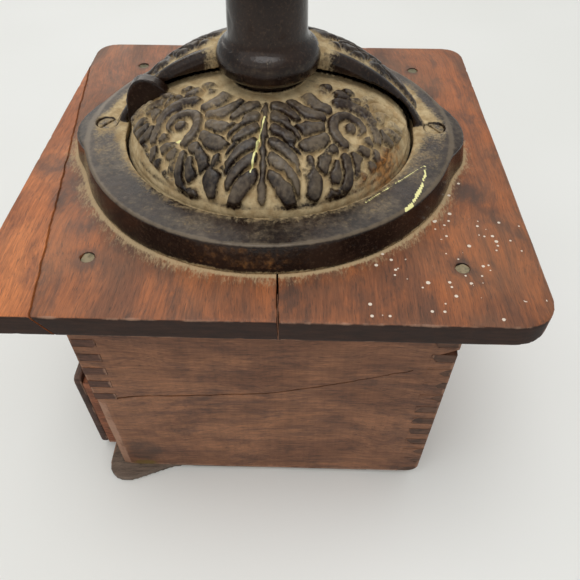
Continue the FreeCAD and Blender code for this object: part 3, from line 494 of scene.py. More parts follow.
def black_iron():
    """Old black finish on cast iron: pale brown where rubbed, which on crests and edges is also a painted highlight,
    dusty in the recesses, rusty in spots.
    """
    g = Graph("black_iron_worn")
    broad = g.noise(45.0, detail=5.0, roughness=0.6)
    grain = g.noise(900.0, detail=4.0, roughness=0.68)
    pits = g.rise(g.noise(620.0, detail=3.0), 0.60, 0.72)
    colour = g.mix(g.rise(broad, 0.38, 0.66), linear(21, 12, 9), linear(42, 29, 22))
    colour = g.mix(g.math("MULTIPLY", g.rise(grain, 0.50, 0.72), 0.34), colour, linear(90, 70, 54))
    colour = g.mix(g.math("MULTIPLY", pits, 0.5), colour, linear(18, 14, 12))

    # Pale brown where rubbed; on the foot ring's top edge, the collar's edge and the leaf crests this is also a
    # painted highlight.
    bare = g.math("ADD", g.attribute("wear_and_highlight"), g.math("MULTIPLY", g.math("SUBTRACT", g.noise(520.0), 0.5), 0.9))
    bare = g.rise(bare, 0.30, 1.0)
    colour = g.mix(g.math("MULTIPLY", bare, 0.55), colour, linear(128, 113, 93))

    grit = g.noise(800.0, detail=6.0, roughness=0.78)
    drift = g.noise(230.0, detail=4.0, roughness=0.6)
    powder = g.math("ADD", g.attribute("dust"), g.math("MULTIPLY", g.math("SUBTRACT", grit, 0.5), 1.4))
    powder = g.math("ADD", powder, g.math("MULTIPLY", g.math("SUBTRACT", drift, 0.5), 0.5))
    powder = g.rise(powder, 0.34, 0.92)
    tone = g.mix(g.rise(drift, 0.35, 0.68), linear(214, 191, 148), linear(172, 146, 106))
    tone = g.mix(1.0, tone, g.rise(grit, 0.3, 0.7, 1.12, 0.80), blend="MULTIPLY")
    colour = g.mix(g.math("MULTIPLY", powder, 0.90), colour, tone)

    rust = g.math("ADD", g.attribute("rust"), g.math("MULTIPLY", g.math("SUBTRACT", g.noise(380.0), 0.5), 0.8))
    rust = g.rise(rust, 0.28, 0.85)
    rust_tone = g.mix(g.rise(g.noise(420.0, detail=4.0), 0.38, 0.62), linear(168, 112, 54), linear(84, 52, 26))
    colour = g.mix(g.math("MULTIPLY", rust, 0.75), colour, rust_tone)
    colour = g.mix(g.rise(g.attribute("paint"), 0.45, 0.6), colour, linear(236, 230, 160))

    rough = g.rise(g.attribute("wear_and_highlight"), 0.10, 0.45, 0.15, 0.31)
    rough = g.towards(g.math("MAXIMUM", powder, rust), rough, 0.93)
    height = g.math("SUBTRACT", grain, g.math("MULTIPLY", pits, 0.7))
    normal = g.bump(height, 0.40, 0.12 * MM)
    normal = g.bump(g.math("MULTIPLY", grit, powder), 0.35, 0.18 * MM, after=normal)
    normal = g.bump(g.noise(160.0, detail=4.0), 0.25, 0.5 * MM, after=normal)
    g.set(Base_Color=colour, Roughness=rough, Normal=normal)
    g.shader.inputs["Specular IOR Level"].default_value = 0.27
    return g.material


def metal(name, base, tarnish, rough=0.45, metallic=0.8):
    """Dull bare metal with tarnish, fine casting grain and a little rust."""
    g = Graph(name)
    patches = g.noise(140.0, detail=5.0, roughness=0.65)
    grain = g.noise(1700.0, detail=2.0)
    colour = g.mix(g.rise(patches, 0.38, 0.65), base, tarnish)
    rusty = g.rise(g.noise(240.0, detail=5.0, roughness=0.7), 0.56, 0.70)
    colour = g.mix(g.math("MULTIPLY", rusty, 0.55), colour, linear(104, 64, 38))
    powder = g.math("ADD", g.attribute("dust"), g.math("MULTIPLY", g.math("SUBTRACT", g.noise(900.0), 0.5), 1.2))
    powder = g.rise(powder, 0.35, 0.85)
    colour = g.mix(g.math("MULTIPLY", powder, 0.85), colour, linear(150, 134, 104))
    matt = g.math("MAXIMUM", g.math("MULTIPLY", rusty, 0.6), powder)
    g.set(
        Base_Color=colour,
        Metallic=g.math("MULTIPLY", metallic, g.math("SUBTRACT", 1.0, matt), clamp=True),
        Roughness=g.rise(patches, 0.3, 0.7, rough, rough + 0.25),
        Normal=g.bump(g.math("ADD", grain, g.math("MULTIPLY", patches, 0.8)), 0.3, 0.08 * MM),
    )
    return g.material


def plain_floor():
    g = Graph("studio_floor")
    tone = g.rise(g.noise(3.0, detail=2.0), 0.3, 0.7)
    g.set(Base_Color=g.mix(tone, linear(238, 238, 235), linear(233, 233, 229)), Roughness=0.85)
    return g.material


TOP_WOOD = wood(
    "top_board_wood", "X", linear(158, 86, 38), linear(114, 66, 40), linear(70, 43, 32), linear(48, 29, 20),
    gloss=0.46, dust=linear(186, 162, 124), speckled=True, film=0.12,
)
STRIP_WOOD = wood(
    "split_strip_wood", "X", linear(188, 108, 52), linear(160, 88, 44), linear(112, 60, 34), linear(48, 29, 20),
    gloss=0.46, figure=0.6, dust=linear(186, 162, 124), film=0.05,
)
SIDE_WOOD = wood(
    "side_board_wood", "Y", linear(138, 92, 62), linear(112, 74, 52), linear(74, 48, 38), linear(84, 60, 48),
    gloss=0.34, figure=1.3, dust=linear(112, 94, 44), sawn=0.28,
)
FRONT_WOOD = wood(
    "front_board_wood", "X", linear(134, 88, 60), linear(112, 72, 50), linear(74, 47, 36), linear(90, 62, 50),
    gloss=0.34, figure=1.3,
)
BACK_WOOD = wood(
    "back_board_wood", "X", linear(134, 88, 60), linear(112, 72, 50), linear(74, 47, 36), linear(92, 66, 52),
    gloss=0.34, figure=1.3,
)
BASE_WOOD = wood(
    "base_board_wood", "Y", linear(140, 120, 102), linear(106, 90, 78), linear(64, 54, 47), linear(64, 53, 45),
    gloss=0.3,
)
DRAWER_WOOD = wood(
    "drawer_wood", "Y", linear(150, 92, 62), linear(126, 74, 50), linear(84, 50, 36), linear(84, 54, 42),
    gloss=0.25,
)
DRAWER_CROSS_WOOD = wood(
    "drawer_cross_wood", "X", linear(150, 92, 62), linear(126, 74, 50), linear(84, 50, 36), linear(84, 54, 42),
    gloss=0.25,
)
FACE_WOOD = wood(
    "drawer_face_wood", "X", linear(104, 76, 62), linear(82, 58, 48), linear(50, 36, 31), linear(78, 58, 50),
    gloss=0.42,
)
KNOB_WOOD = wood(
    "turned_knob_wood", "Z", linear(84, 48, 32), linear(62, 34, 24), linear(34, 20, 16), linear(60, 36, 26),
    gloss=0.66,
)
PULL_WOOD = wood(
    "drawer_pull_wood", "Y", linear(84, 48, 32), linear(62, 34, 24), linear(34, 20, 16), linear(60, 36, 26),
    gloss=0.6,
)
BLACK_IRON = black_iron()
BARE_IRON = metal("bare_cast_iron", linear(108, 102, 96), linear(66, 58, 50), rough=0.5)
STEEL = metal("aged_steel", linear(138, 128, 116), linear(88, 74, 60), rough=0.42)
NAIL_IRON = metal("old_nail_iron", linear(118, 112, 88), linear(84, 74, 54), rough=0.7, metallic=0.25)


# ---------------------------------------------------------------- wear on boards
def edge_nearness(co, low, high, reach):
    """1 on the edges of the box low..high and 0 from reach inwards."""
    gaps = np.sort(np.minimum(co - np.array(low), np.array(high) - co), axis=1)
    return 1.0 - smoothstep(0.0, reach, gaps[:, 1])


def weather(obj, low, high, seed, dent=0.05 * MM, nick=0.3 * MM, edge=1.6 * MM):
    """Uneven faces, and edges knocked back in places; marks the rubbed edges for the material to pale, which on the
    top board's upper edge is also a painted highlight line.
    """
    co = coordinates(obj)
    nrm = normals(obj)
    near = edge_nearness(co, low, high, edge)
    chips = smoothstep(0.35, 1.1, noise(co, 5 * MM, seed, octaves=2)) + 0.12
    push = dent * noise(co, 14 * MM, seed + 20, octaves=3) - 1.4 * dent
    push -= nick * near * near * chips
    place(obj, co + nrm * push[:, None])
    store(obj, "wear_and_highlight", near * (0.70 + 0.5 * noise(co, 9 * MM, seed + 40, octaves=2)))


def nail_places(node):
    """Where the heads of a node's nails are, one for each quarter of the plan."""
    co = coordinates(frame["nodes"][node])
    heads = co[co[:, 2] > co[:, 2].max() - 0.05 * MM]
    places = []
    for sx in (-1, 1):
        for sy in (-1, 1):
            quarter = heads[(heads[:, 0] * sx > 0) & (heads[:, 1] * sy > 0)]
            places.append((quarter[:, :2].min(0) + quarter[:, :2].max(0)) / 2)
    return places


# ---------------------------------------------------------------- top board
WELL_STEP_R = 61.8 * MM  # the step round the board's well that the bowl's flange lies in
WELL_R = 56.5 * MM
WELL_STEP = 4.0 * MM
NAIL_HOLE_R = 2.5 * MM
BOARD_CORNER = 9.5 * MM


def board_outline():
    """The top board's plan: a square with rounded corners, the front right one rounder from wear."""
    points = []
    for sx, sy in ((1, 1), (-1, 1), (-1, -1), (1, -1)):
        corner = BOARD_CORNER * (1.35 if (sx, sy) == (1, 1) else 1.0)
        start = {(1, 1): 0, (-1, 1): 90, (-1, -1): 180, (1, -1): 270}[sx, sy]
        for i in range(9):
            a = math.radians(start + 90 * i / 8)
            points.append((sx * (BOARD_HALF - corner) + corner * math.cos(a),
                           sy * (BOARD_HALF - corner) + corner * math.sin(a)))
    return points


SPLIT_FRONT_Y = -69.2 * MM
SPLIT_SLOPE = 0.1446
SPLIT_LEAN = 6.0 * MM


def split_line(offset):
    """The ragged line along which the strip broke off, as plan points at the board's upper face."""
    xs = np.linspace(-1.15 * BOARD_HALF, 1.15 * BOARD_HALF, 240)
    p = np.stack([xs, np.zeros_like(xs), np.zeros_like(xs)], axis=1)
    ragged = 0.32 * MM * noise(p, 5 * MM, 71, octaves=3)
    return [(x, SPLIT_FRONT_Y + SPLIT_SLOPE * (x - BOARD_HALF) + r + offset) for x, r in zip(xs, ragged)]


def beyond_split(offset, side):
    """Everything on one side of the split (-1 the strip's, 1 the board's), as a closed solid for cutting."""
    line = split_line(offset)
    far = side * 2 * BOARD_HALF
    outline = line + [(line[-1][0], far), (line[0][0], far)]
    drop = TOP_HIGH.z - TOP_LOW.z
    over = 2 * MM
    lean = SPLIT_LEAN * (drop + 2 * over) / drop
    shifted = [(x, y - SPLIT_LEAN * over / drop) for x, y in outline]
    return prism("beyond_split", shifted, TOP_LOW.z - over, TOP_HIGH.z + over, lean=(0.0, lean))


def whole_board():
    board = prism("top_board_worn", board_outline(), TOP_LOW.z, TOP_HIGH.z)
    remesh(board, 0.8 * MM, smoothing=2)
    low = (-BOARD_HALF, -BOARD_HALF, TOP_LOW.z)
    high = (BOARD_HALF, BOARD_HALF, TOP_HIGH.z)
    # Its rubbed edges turn pale, and along the upper edge that pale line is also a painted highlight.
    weather(board, low, high, seed=3, dent=0.06 * MM, nick=0.7 * MM, edge=1.8 * MM)
    cut(board, prism("well", circle(WELL_R), TOP_LOW.z - MM, TOP_HIGH.z + MM))
    cut(board, prism("step", circle(WELL_STEP_R), DECK - WELL_STEP, TOP_HIGH.z + MM))
    for x, y in nail_places("top_board_nails"):
        cut(board, prism("nail_hole", circle(NAIL_HOLE_R, x, y, 24), DECK - 1.2 * MM, DECK + MM))
    return board


def board_marks(obj):
    """Dust round the foot ring, grime by the nails and towards the ring."""
    co = coordinates(obj)
    r = np.hypot(co[:, 0], co[:, 1])
    upper = smoothstep(DECK - 1.5 * MM, DECK - 0.5 * MM, co[:, 2])
    lobe = 5.0 * MM * np.exp(-np.abs(np.degrees(np.arctan2(np.abs(co[:, 0]), np.abs(co[:, 1]))) / 12.0) ** 3)
    gap = r - 73.1 * MM - lobe
    wander = noise(co, 6 * MM, 12, octaves=2)
    dust = 0.60 * (1.0 - smoothstep(0.3 * MM, 1.8 * MM, gap + 0.4 * MM * wander))
    dust += (0.48 + 0.20 * wander) * (1.0 - smoothstep(0.8 * MM, 9 * MM, gap))
    left = smoothstep(0.0, -50 * MM, co[:, 1])
    dust += (0.08 + 0.12 * left) * (1.0 - smoothstep(8 * MM, 36 * MM, gap))
    patches = 0.6 + 0.7 * noise(co, 15 * MM, 15, octaves=2)
    grime = (0.62 + 0.1 * left) * (1.0 - smoothstep(0.0, 36 * MM, gap)) * patches
    for x, y in nail_places("top_board_nails"):
        away = np.hypot(co[:, 0] - x, co[:, 1] - y) + 1.2 * MM * wander
        grime += 0.5 * (1.0 - smoothstep(2 * MM, 8 * MM, away))
    store(obj, "dust", upper * dust)
    store(obj, "grime", upper * grime)


def top_boards():
    board = whole_board()
    strip = board.copy()
    strip.data = board.data.copy()
    strip.name = "split_strip_worn"
    bpy.context.scene.collection.objects.link(strip)
    gap = 0.35 * MM
    cut(strip, beyond_split(-gap, 1))
    cut(board, beyond_split(gap, -1))
    crack_y = 6.0 * MM
    path = [(BOARD_HALF + 3 * MM, crack_y + 0.9 * MM, DECK), (84 * MM, crack_y + 0.2 * MM, DECK),
            (72 * MM, crack_y - 0.3 * MM, DECK), (58 * MM, crack_y - 0.6 * MM, DECK)]
    thick = TOP_HIGH.z - TOP_LOW.z
    centre_crack = crack("centre_crack", path, (0, 0, 1), 0.95 * MM, 0.7 * MM, thick + 2 * MM, 0.10 * MM, 31)
    cut(board, centre_crack)
    for obj, node, material in ((board, "top_board", TOP_WOOD), (strip, "top_board_split_strip", STRIP_WOOD)):
        board_marks(obj)
        finish_piece(obj, node, "mill", material)


# ---------------------------------------------------------------- box
def worn_board(node, body, material, seed, step=8 * MM, voxel=None, opening=None, **wear):
    """A board with dents and rubbed edges; a voxel size is for curved boards that need an even mesh."""
    obj = copy_of(node, node + "_worn")
    if voxel:
        remesh(obj, voxel, smoothing=1)
    else:
        gridded(obj, step)
    if opening:
        cut(obj, opening)
    low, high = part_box(node)
    weather(obj, low, high, seed, **wear)
    finish_piece(obj, node, body, material)
    return obj


def side_crack():
    """The long drying crack across the right side board."""
    x = BOX_HALF
    top = TOP_LOW.z
    path = [(x, -64.5 * MM, top - 68.5 * MM), (x, -53 * MM, top - 66.0 * MM), (x, -30 * MM, top - 64.5 * MM),
            (x, 0.0, top - 61.5 * MM), (x, 12 * MM, top - 58.5 * MM), (x, 30 * MM, top - 53.0 * MM),
            (x, 46 * MM, top - 47.0 * MM), (x, 58 * MM, top - 43.0 * MM)]
    return crack("side_crack", path, (1, 0, 0), 1.0 * MM, 0.4 * MM, 4.0 * MM, 0.2 * MM, 51)


def box_boards():
    right = worn_board("right_side_board", "mill", SIDE_WOOD, 101, opening=side_crack(), dent=0.07 * MM)
    co = coordinates(right)
    # Paler on the bevel band at the front end and towards the bottom of the face, besides the rubbed edges.
    bevel = smoothstep(-68.4 * MM, -70.2 * MM, co[:, 1]) * smoothstep(64 * MM, 60 * MM, co[:, 2])
    near = edge_nearness(co, *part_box("right_side_board"), 1.6 * MM)
    lower = 0.34 * smoothstep(80 * MM, 25 * MM, co[:, 2])
    store(right, "wear_and_highlight", near * (0.7 + 0.5 * noise(co, 12 * MM, 44, octaves=2)) + bevel * (0.5 + 0.3 * noise(co, 8 * MM, 49)) + lower)
    foot = smoothstep(14 * MM, 4 * MM, co[:, 2]) * (0.35 + 0.4 * noise(co, 18 * MM, 47, octaves=2))
    smudge = np.hypot(co[:, 1] + 60 * MM, 0.8 * (co[:, 2] - 20 * MM))
    store(right, "grime", foot + 0.7 * smoothstep(12 * MM, 5 * MM, smudge))
    spot = np.hypot(0.6 * (co[:, 1] + 62 * MM), co[:, 2] - 5 * MM)
    store(right, "dust", 0.9 * smoothstep(6 * MM, 2 * MM, spot))
    worn_board("left_side_board", "mill", SIDE_WOOD, 131)
    worn_board("front_board", "mill", FRONT_WOOD, 161)
    worn_board("back_board", "mill", BACK_WOOD, 191)
    worn_board("base_board", "mill", BASE_WOOD, 221, voxel=0.8 * MM)


# ---------------------------------------------------------------- drawer
def drawer():
    worn_board("drawer_face", "drawer", FACE_WOOD, 301, voxel=0.7 * MM)
    for i, side in enumerate(("drawer_left_side", "drawer_right_side")):
        worn_board(side, "drawer", DRAWER_WOOD, 320 + i, step=12 * MM)
    for i, node in enumerate(("drawer_front", "drawer_back", "drawer_bottom")):
        worn_board(node, "drawer", DRAWER_CROSS_WOOD, 340 + i, step=12 * MM)


# ---------------------------------------------------------------- relief
# A plain scroll-and-leaf ornament, alike on both sides of the middle line. Lengths are in millimetres over
# the cover's plan, as (y, x): y runs along the cover's straight edge and x from that edge to its round rim.
SCROLL_AT = (29.5, 26.5)
SCROLL_R = 12.0
SCROLL_REACH = 20.5  # how far from the scroll's middle its leaflets end
SCROLL_HALF = 2.7  # half the width of the scroll's band
SCROLL_TURN = 2.7 * math.pi
SCROLL_START = math.radians(200)  # direction from its middle, turned from x towards y, where it begins
SCROLL_EYE = 2.0
LEAFLETS = 15  # round the outside of the scroll
MIDRIB = (20.5, 53.0)
LOBES = 6  # on each side of the middle leaf
RIM_LEAVES = 7
RIM_LEAF_R = 53.5
FURROW = 0.30 * MM  # half the width of the furrow where two leaves meet
FURROW_DEPTH = 1.05 * MM
LEAF_RISE = 1.35 * MM


def leaf_stroke(y, x, heading, length, half, bend):
    """A leaf that starts at a point, turns by bend along its length, swells, and narrows to its tip."""
    t = np.linspace(0.0, 1.0, 7)
    step = length / 6
    py = y + np.cumsum(np.sin(heading + bend * t)) * step
    px = x + np.cumsum(np.cos(heading + bend * t)) * step
    return np.stack([py, px, half * (0.72 + 1.10 * t - 1.72 * t**2)], axis=1)


def scroll_point(angle):
    """A point of the spiral, angle radians along it, and the direction away from its middle there."""
    heading = SCROLL_START - angle
    radius = SCROLL_R * math.exp(-0.13 * angle)
    return SCROLL_AT[0] + radius * math.sin(heading), SCROLL_AT[1] + radius * math.cos(heading), heading


def scroll():
    """The spiral with its eye, and the leaflets that curl off its outer edge."""
    eye_y, eye_x = SCROLL_AT
    band = []
    for angle in np.linspace(0.0, SCROLL_TURN, 34):
        y, x, _ = scroll_point(angle)
        band.append((y, x, SCROLL_HALF * (1.0 - 0.05 * angle)))
    strokes = [np.array(band), np.array([(eye_y - 0.3, eye_x, SCROLL_EYE), (eye_y + 0.3, eye_x, SCROLL_EYE)])]
    for i in range(LEAFLETS):
        y, x, heading = scroll_point(5.8 * i / (LEAFLETS - 1))
        root = SCROLL_HALF - 0.2
        length = SCROLL_REACH - root - math.hypot(y - eye_y, x - eye_x)
        y += root * math.sin(heading)
        x += root * math.cos(heading)
        strokes.append(leaf_stroke(y, x, heading + 0.55, length + 3.5, 3.3, -1.4))
    return strokes


def middle_leaf():
    """Half of the upright leaf on the middle line: its rib and one side's lobes."""
    low, high = MIDRIB
    rib = np.linspace(low, high, 8)
    strokes = [np.stack([0.0 * rib, rib, np.full(8, 1.5)], axis=1)]
    for i in range(LOBES):
        at = low + (high - low - 6.0) * i / (LOBES - 1)
        strokes.append(leaf_stroke(1.2, at, 1.25, 14.0, 3.5, -0.95))
    return strokes


def filling_leaves():
    """Leaves standing on the rim that lean towards the middle, and two lying along the straight edge."""
    strokes = [leaf_stroke(y, 10.5, 1.5, 16.0, 3.6, -0.1) for y in (18.0, 34.0)]
    for i in range(RIM_LEAVES):
        angle = math.radians(18 + 10 * i)
        y, x = RIM_LEAF_R * math.sin(angle), RIM_LEAF_R * math.cos(angle)
        strokes.append(leaf_stroke(y, x, angle + math.pi - 0.6, 9.5, 3.6, 0.9))
    return strokes


def leaf_field(y, x):
    """How far each plan point lies inside the leaf that it is deepest in, less where the next leaf meets
    it, and 1 to 0 from that leaf's crest to its edge."""
    best = np.full(len(x), -0.01)
    second = best.copy()
    crest = np.zeros(len(x))
    for stroke in scroll() + middle_leaf() + filling_leaves():
        depth = np.full(len(x), -0.01)
        nearest = np.full(len(x), 9.0)
        for py, px, half in resample(stroke * MM, 0.5 * MM):
            away = np.hypot(y - py, x - px)
            depth = np.maximum(depth, half - away)
            nearest = np.minimum(nearest, (away / half) ** 2)
        deeper = depth > best
        second = np.where(deeper, best, np.maximum(second, depth))
        crest = np.where(deeper, np.clip(1.0 - nearest, 0.0, 1.0) ** 0.7, crest)
        best = np.maximum(best, depth)
    return np.minimum(best, 0.5 * (best - second) - FURROW), crest


def relief(y, x):
    """Height of the relief over the plan, and how far each point is from the dusty ground (0 to 1)."""
    points = np.stack([y, x, np.zeros_like(x)], axis=1)
    ragged = noise(points, 2.6 * MM, 81, octaves=3)
    warp = 0.28 * MM * noise(points, 2.4 * MM, 85, octaves=2)
    inside, crest = leaf_field(np.abs(y + warp), x - warp)
    d = inside + 0.20 * MM * ragged
    r = np.hypot(x, y)
    rim = 54.8 * MM - 2.2 * MM * smoothstep(24 * MM, 46 * MM, np.abs(y))
    r = r + 0.4 * MM * ragged
    ground = np.maximum.reduce([
        smoothstep(rim - 1.0 * MM, rim + 0.6 * MM, r),
        1.0 - smoothstep(18.6 * MM, 21.0 * MM, r),
        smoothstep(8.0 * MM, 5.0 * MM, x + 0.8 * MM * ragged),
    ])
    leaf = smoothstep(-0.40 * MM, 0.50 * MM, d) * (1.0 - ground)
    swell = leaf * (0.15 + 0.85 * crest)
    veins = 0.12 * MM * noise(points, 1.3 * MM, 83, octaves=2)
    height = FURROW_DEPTH * (leaf - 1.0) + LEAF_RISE * swell + leaf * veins
    return height, np.clip(leaf * (0.56 + 0.44 * crest) + 0.08 * ragged, 0.0, 1.0)


DRIP_START, DRIP_END = 28.0 * MM, 47.0 * MM  # a run of paint down the cover, close to the middle line
DRIP_SLANT = -0.2
DRIP_WIDTH = 0.65 * MM
PAINT_DOT = (-30.0 * MM, 32.0 * MM)


def hopper_cover():
    cover = copy_of("hopper_cover", "hopper_cover_relief")
    remesh(cover, 0.40 * MM, smoothing=1)
    co = coordinates(cover)
    nrm = normals(cover)
    x, y, h = co[:, 0], co[:, 1], co[:, 2] - DECK
    r = np.hypot(x, y)
    outward = np.stack([x / COVER_R**2, y / COVER_R**2, (h - COVER_EQUATOR) / COVER_RISE**2], axis=1)
    outward /= np.linalg.norm(outward, axis=1)[:, None]
    level = np.hypot(r / COVER_R, (h - COVER_EQUATOR) / COVER_RISE)
    on_shell = (np.abs(level - 1.0) < 0.03) & (np.sum(nrm * outward, axis=1) > 0.6) & (h > COVER_EQUATOR)
    tab = (x < 6.6 * MM) & (x > 0.3 * MM) & (y < -36 * MM) & (level > 1.02)
    height, leaf = relief(y, x)
    push = np.where(on_shell & ~tab, height, 0.0) + 0.04 * MM * noise(co, 3 * MM, 7, octaves=2)
    place(cover, co + nrm * push[:, None])

    blotch = noise(co, 9 * MM, 17, octaves=3)
    far_side = smoothstep(26 * MM, 40 * MM, y) * smoothstep(30 * MM, 14 * MM, x)
    upper = smoothstep(21 * MM, 9 * MM, x)
    bare = leaf * (1.0 - 0.62 * far_side) * (1.0 - 0.35 * upper)
    dust = 0.90 - 0.72 * bare + 0.16 * blotch
    gap_line = smoothstep(3.2 * MM, 1.2 * MM, np.abs(h - 9.0 * MM))
    rim = smoothstep(54.0 * MM, 55.0 * MM, r) * smoothstep(20 * MM, 40 * MM, x)
    dust = dust - 0.30 * rim + 0.50 * gap_line
    dust = np.where(on_shell, dust, 0.30 + 0.4 * gap_line)
    dust = np.where(tab, 0.06, dust)
    rim_rust = smoothstep(50 * MM, 53 * MM, r) * smoothstep(24 * MM, 34 * MM, y) * smoothstep(12 * MM, 24 * MM, x)
    spot = np.exp(-(((y - 42 * MM) / (4.5 * MM)) ** 2 + ((x - 31 * MM) / (6 * MM)) ** 2))
    store(cover, "dust", dust)
    store(cover, "rust", 0.5 * rim_rust + 0.55 * spot + 0.18 * far_side * (1.0 + blotch))
    # Leaf crests are paler where rubbed, and this paleness also paints on the sheen of their tops.
    store(cover, "wear_and_highlight", np.where(tab, 0.22, leaf * (0.10 + 0.62 * leaf + 0.25 * blotch)))
    down = np.clip(x, DRIP_START, DRIP_END)
    drip = np.hypot(y - DRIP_SLANT * (down - DRIP_START), x - down) - DRIP_WIDTH / 2
    dot = np.hypot(y - PAINT_DOT[0], x - PAINT_DOT[1]) - 0.75 * MM
    store(cover, "paint", smoothstep(0.25 * MM, -0.25 * MM, np.minimum(drip, dot)) * (nrm[:, 2] > 0))
    finish_piece(cover, "hopper_cover", "cover", BLACK_IRON)


# ---------------------------------------------------------------- casting
def paint_smear(x, y, h):
    """Where pale paint was dragged over the front right of the foot ring: it widens as it nears the rim and
    is broken into specks, and a thin scratch runs across the ring inside it."""
    points = np.stack([x, y, h], axis=1)
    broken = noise(points, 1.1 * MM, 57, octaves=2)
    r = np.hypot(x, y)
    angle = np.degrees(np.arctan2(y, x))
    along = np.clip((68.0 - angle) / 25.0, 0.0, 1.0)  # 0 where the smear starts, 1 at its wide end
    off_end = r * np.radians(np.maximum(angle - 68.0, 43.0 - angle).clip(0.0))
    smear = np.hypot(r - (63.0 + 8.0 * along) * MM, off_end) - (0.15 + 0.55 * along) * MM
    across = np.abs(x + 0.95 * y - 80.5 * MM) / math.hypot(1.0, 0.95)
    scratch = np.maximum(across, np.abs(y - 46.0 * MM) - 11.5 * MM) - 0.13 * MM
    marks = np.minimum(smear + 0.5 * MM * broken, scratch + 0.18 * MM * broken)
    return smoothstep(0.3 * MM, -0.15 * MM, marks) * (h > 6 * MM) * (h < 12 * MM)


def hopper_casting():
    casting = copy_of("hopper_casting", "hopper_casting_relief")
    remesh(casting, 0.62 * MM, smoothing=1)
    co = coordinates(casting)
    nrm = normals(casting)
    x, y, h = co[:, 0], co[:, 1], co[:, 2] - DECK
    r = np.hypot(x, y)
    dome_r = 74.0 * MM
    from_centre = np.stack([x, y, h + 31.0 * MM], axis=1)
    reach = np.linalg.norm(from_centre, axis=1)
    outward = (nrm * from_centre).sum(axis=1) > 0.75 * reach
    on_dome = (np.abs(reach - dome_r) < 0.7 * MM) & outward & (x < -1.5 * MM)
    shrink = 55.6 / 62.5
    height, leaf = relief(y * shrink, -x * shrink)
    band = smoothstep(-3.0 * MM, -7.0 * MM, x)
    push = np.where(on_dome, band * np.maximum(height, -0.6 * MM), 0.0)
    push += 0.05 * MM * noise(co, 5 * MM, 27, octaves=3)
    place(casting, co + nrm * push[:, None])

    upward = smoothstep(0.5, 0.9, nrm[:, 2])
    blotch = noise(co, 10 * MM, 37, octaves=3)
    ring_top = upward * (h < RIDGE_H + 0.5 * MM) * (h > 4 * MM)
    wander = r + 2.0 * MM * blotch
    near_opening = 1.0 - smoothstep(OPENING_R, OPENING_R + 4.5 * MM, wander)
    sides = smoothstep(32 * MM, 52 * MM, np.abs(y)) * smoothstep(44 * MM, 16 * MM, x)
    inside = smoothstep(71 * MM, 67 * MM, r)
    dust = ring_top * near_opening * (0.26 + 0.25 * sides)
    dust += ring_top * inside * (0.30 + 0.12 * blotch + 0.12 * sides)
    foot = smoothstep(2.4 * MM, 0.3 * MM, h) * (0.55 + 0.4 * blotch)
    dome_dust = np.where(on_dome, band * (0.80 - 0.70 * leaf) + (1.0 - band) * (0.30 + 0.25 * blotch), 0.0)
    dome_join = smoothstep(9.0 * MM, 1.0 * MM, np.abs(r - 19.5 * MM)) * (x < 2 * MM) * (h < 43 * MM) * 0.65
    dome_foot = smoothstep(4.5 * MM, 1.0 * MM, np.abs(r - 63.0 * MM)) * (x < -2 * MM) * ring_top * 0.6
    screw_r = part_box("casting_screws")[1].y - 4.2 * MM
    lobe = np.exp(-((np.hypot(x, np.abs(y) - screw_r) / (8.5 * MM)) ** 2)) * (h > 2 * MM)
    opening_wall = (r < OPENING_R + 0.4 * MM) & (h > 4 * MM) & (h < 10.5 * MM)
    shoulder = (r < 20 * MM) * smoothstep(0.15, 0.6, nrm[:, 2]) * (h > 34 * MM) * (h < 50 * MM)
    dust += foot + dome_dust + dome_join + dome_foot + 0.45 * lobe + 0.5 * opening_wall
    store(casting, "dust", dust + shoulder * (0.22 + 0.2 * blotch))
    wall = (h > 2 * MM) * smoothstep(0.5, 0.2, np.abs(nrm[:, 2])) * (r > 69 * MM)
    stain = np.exp(-(((y + 5 * MM) / (24 * MM)) ** 2)) * (x > 0)
    collar_foot = (r < 20 * MM) * smoothstep(2.5 * MM, 0.5 * MM, np.abs(h - 36.0 * MM))
    rust = 0.40 * lobe * smoothstep(-0.5, 0.6, blotch) + 0.26 * wall * stain + 0.14 * wall
    store(casting, "rust", rust + 0.35 * collar_foot + 0.15 * shoulder)
    # A pale line along the ring's top edge: polished wear and a painted highlight.
    ridge_wear_and_highlight = smoothstep(1.6 * MM, 0.4 * MM, np.abs(r - 70.8 * MM))
    ridge_wear_and_highlight = ridge_wear_and_highlight * smoothstep(RIDGE_H - 1.2 * MM, RIDGE_H - 0.2 * MM, h)
    # The collar's upper edge is paler: rubbed iron and a painted highlight.
    collar_edge_wear_and_highlight = (r < 20 * MM) * (r > 17.8 * MM) * smoothstep(3.0 * MM, 0.5 * MM, np.abs(h - 41.0 * MM))
    wear_and_highlight = 0.55 * ridge_wear_and_highlight + 0.08 + ring_top * (0.40 + 0.25 * blotch)
    # Dome leaf crests get the same rubbed paleness and painted sheen as the cover's.
    store(casting, "wear_and_highlight", wear_and_highlight + 0.42 * band * on_dome * leaf + 0.3 * collar_edge_wear_and_highlight)
    store(casting, "paint", paint_smear(x, y, h) * (nrm[:, 2] > 0.4))
    finish_piece(casting, "hopper_casting", "mill", BLACK_IRON)


def rusty_screws():
    """The casting's two screws, pitted and dusty."""
    obj = copy_of("casting_screws", "casting_screws_rusted")
    remesh(obj, 0.3 * MM)
    co = coordinates(obj)
    place(obj, co + normals(obj) * (0.12 * MM * noise(co, 1.6 * MM, 61, octaves=2) - 0.05 * MM)[:, None])
    store(obj, "dust", 0.68 + 0.25 * noise(co, 3 * MM, 62))
    store(obj, "rust", 0.25 + 0.3 * noise(co, 4 * MM, 63))
    finish_piece(obj, "casting_screws", "mill", BLACK_IRON)


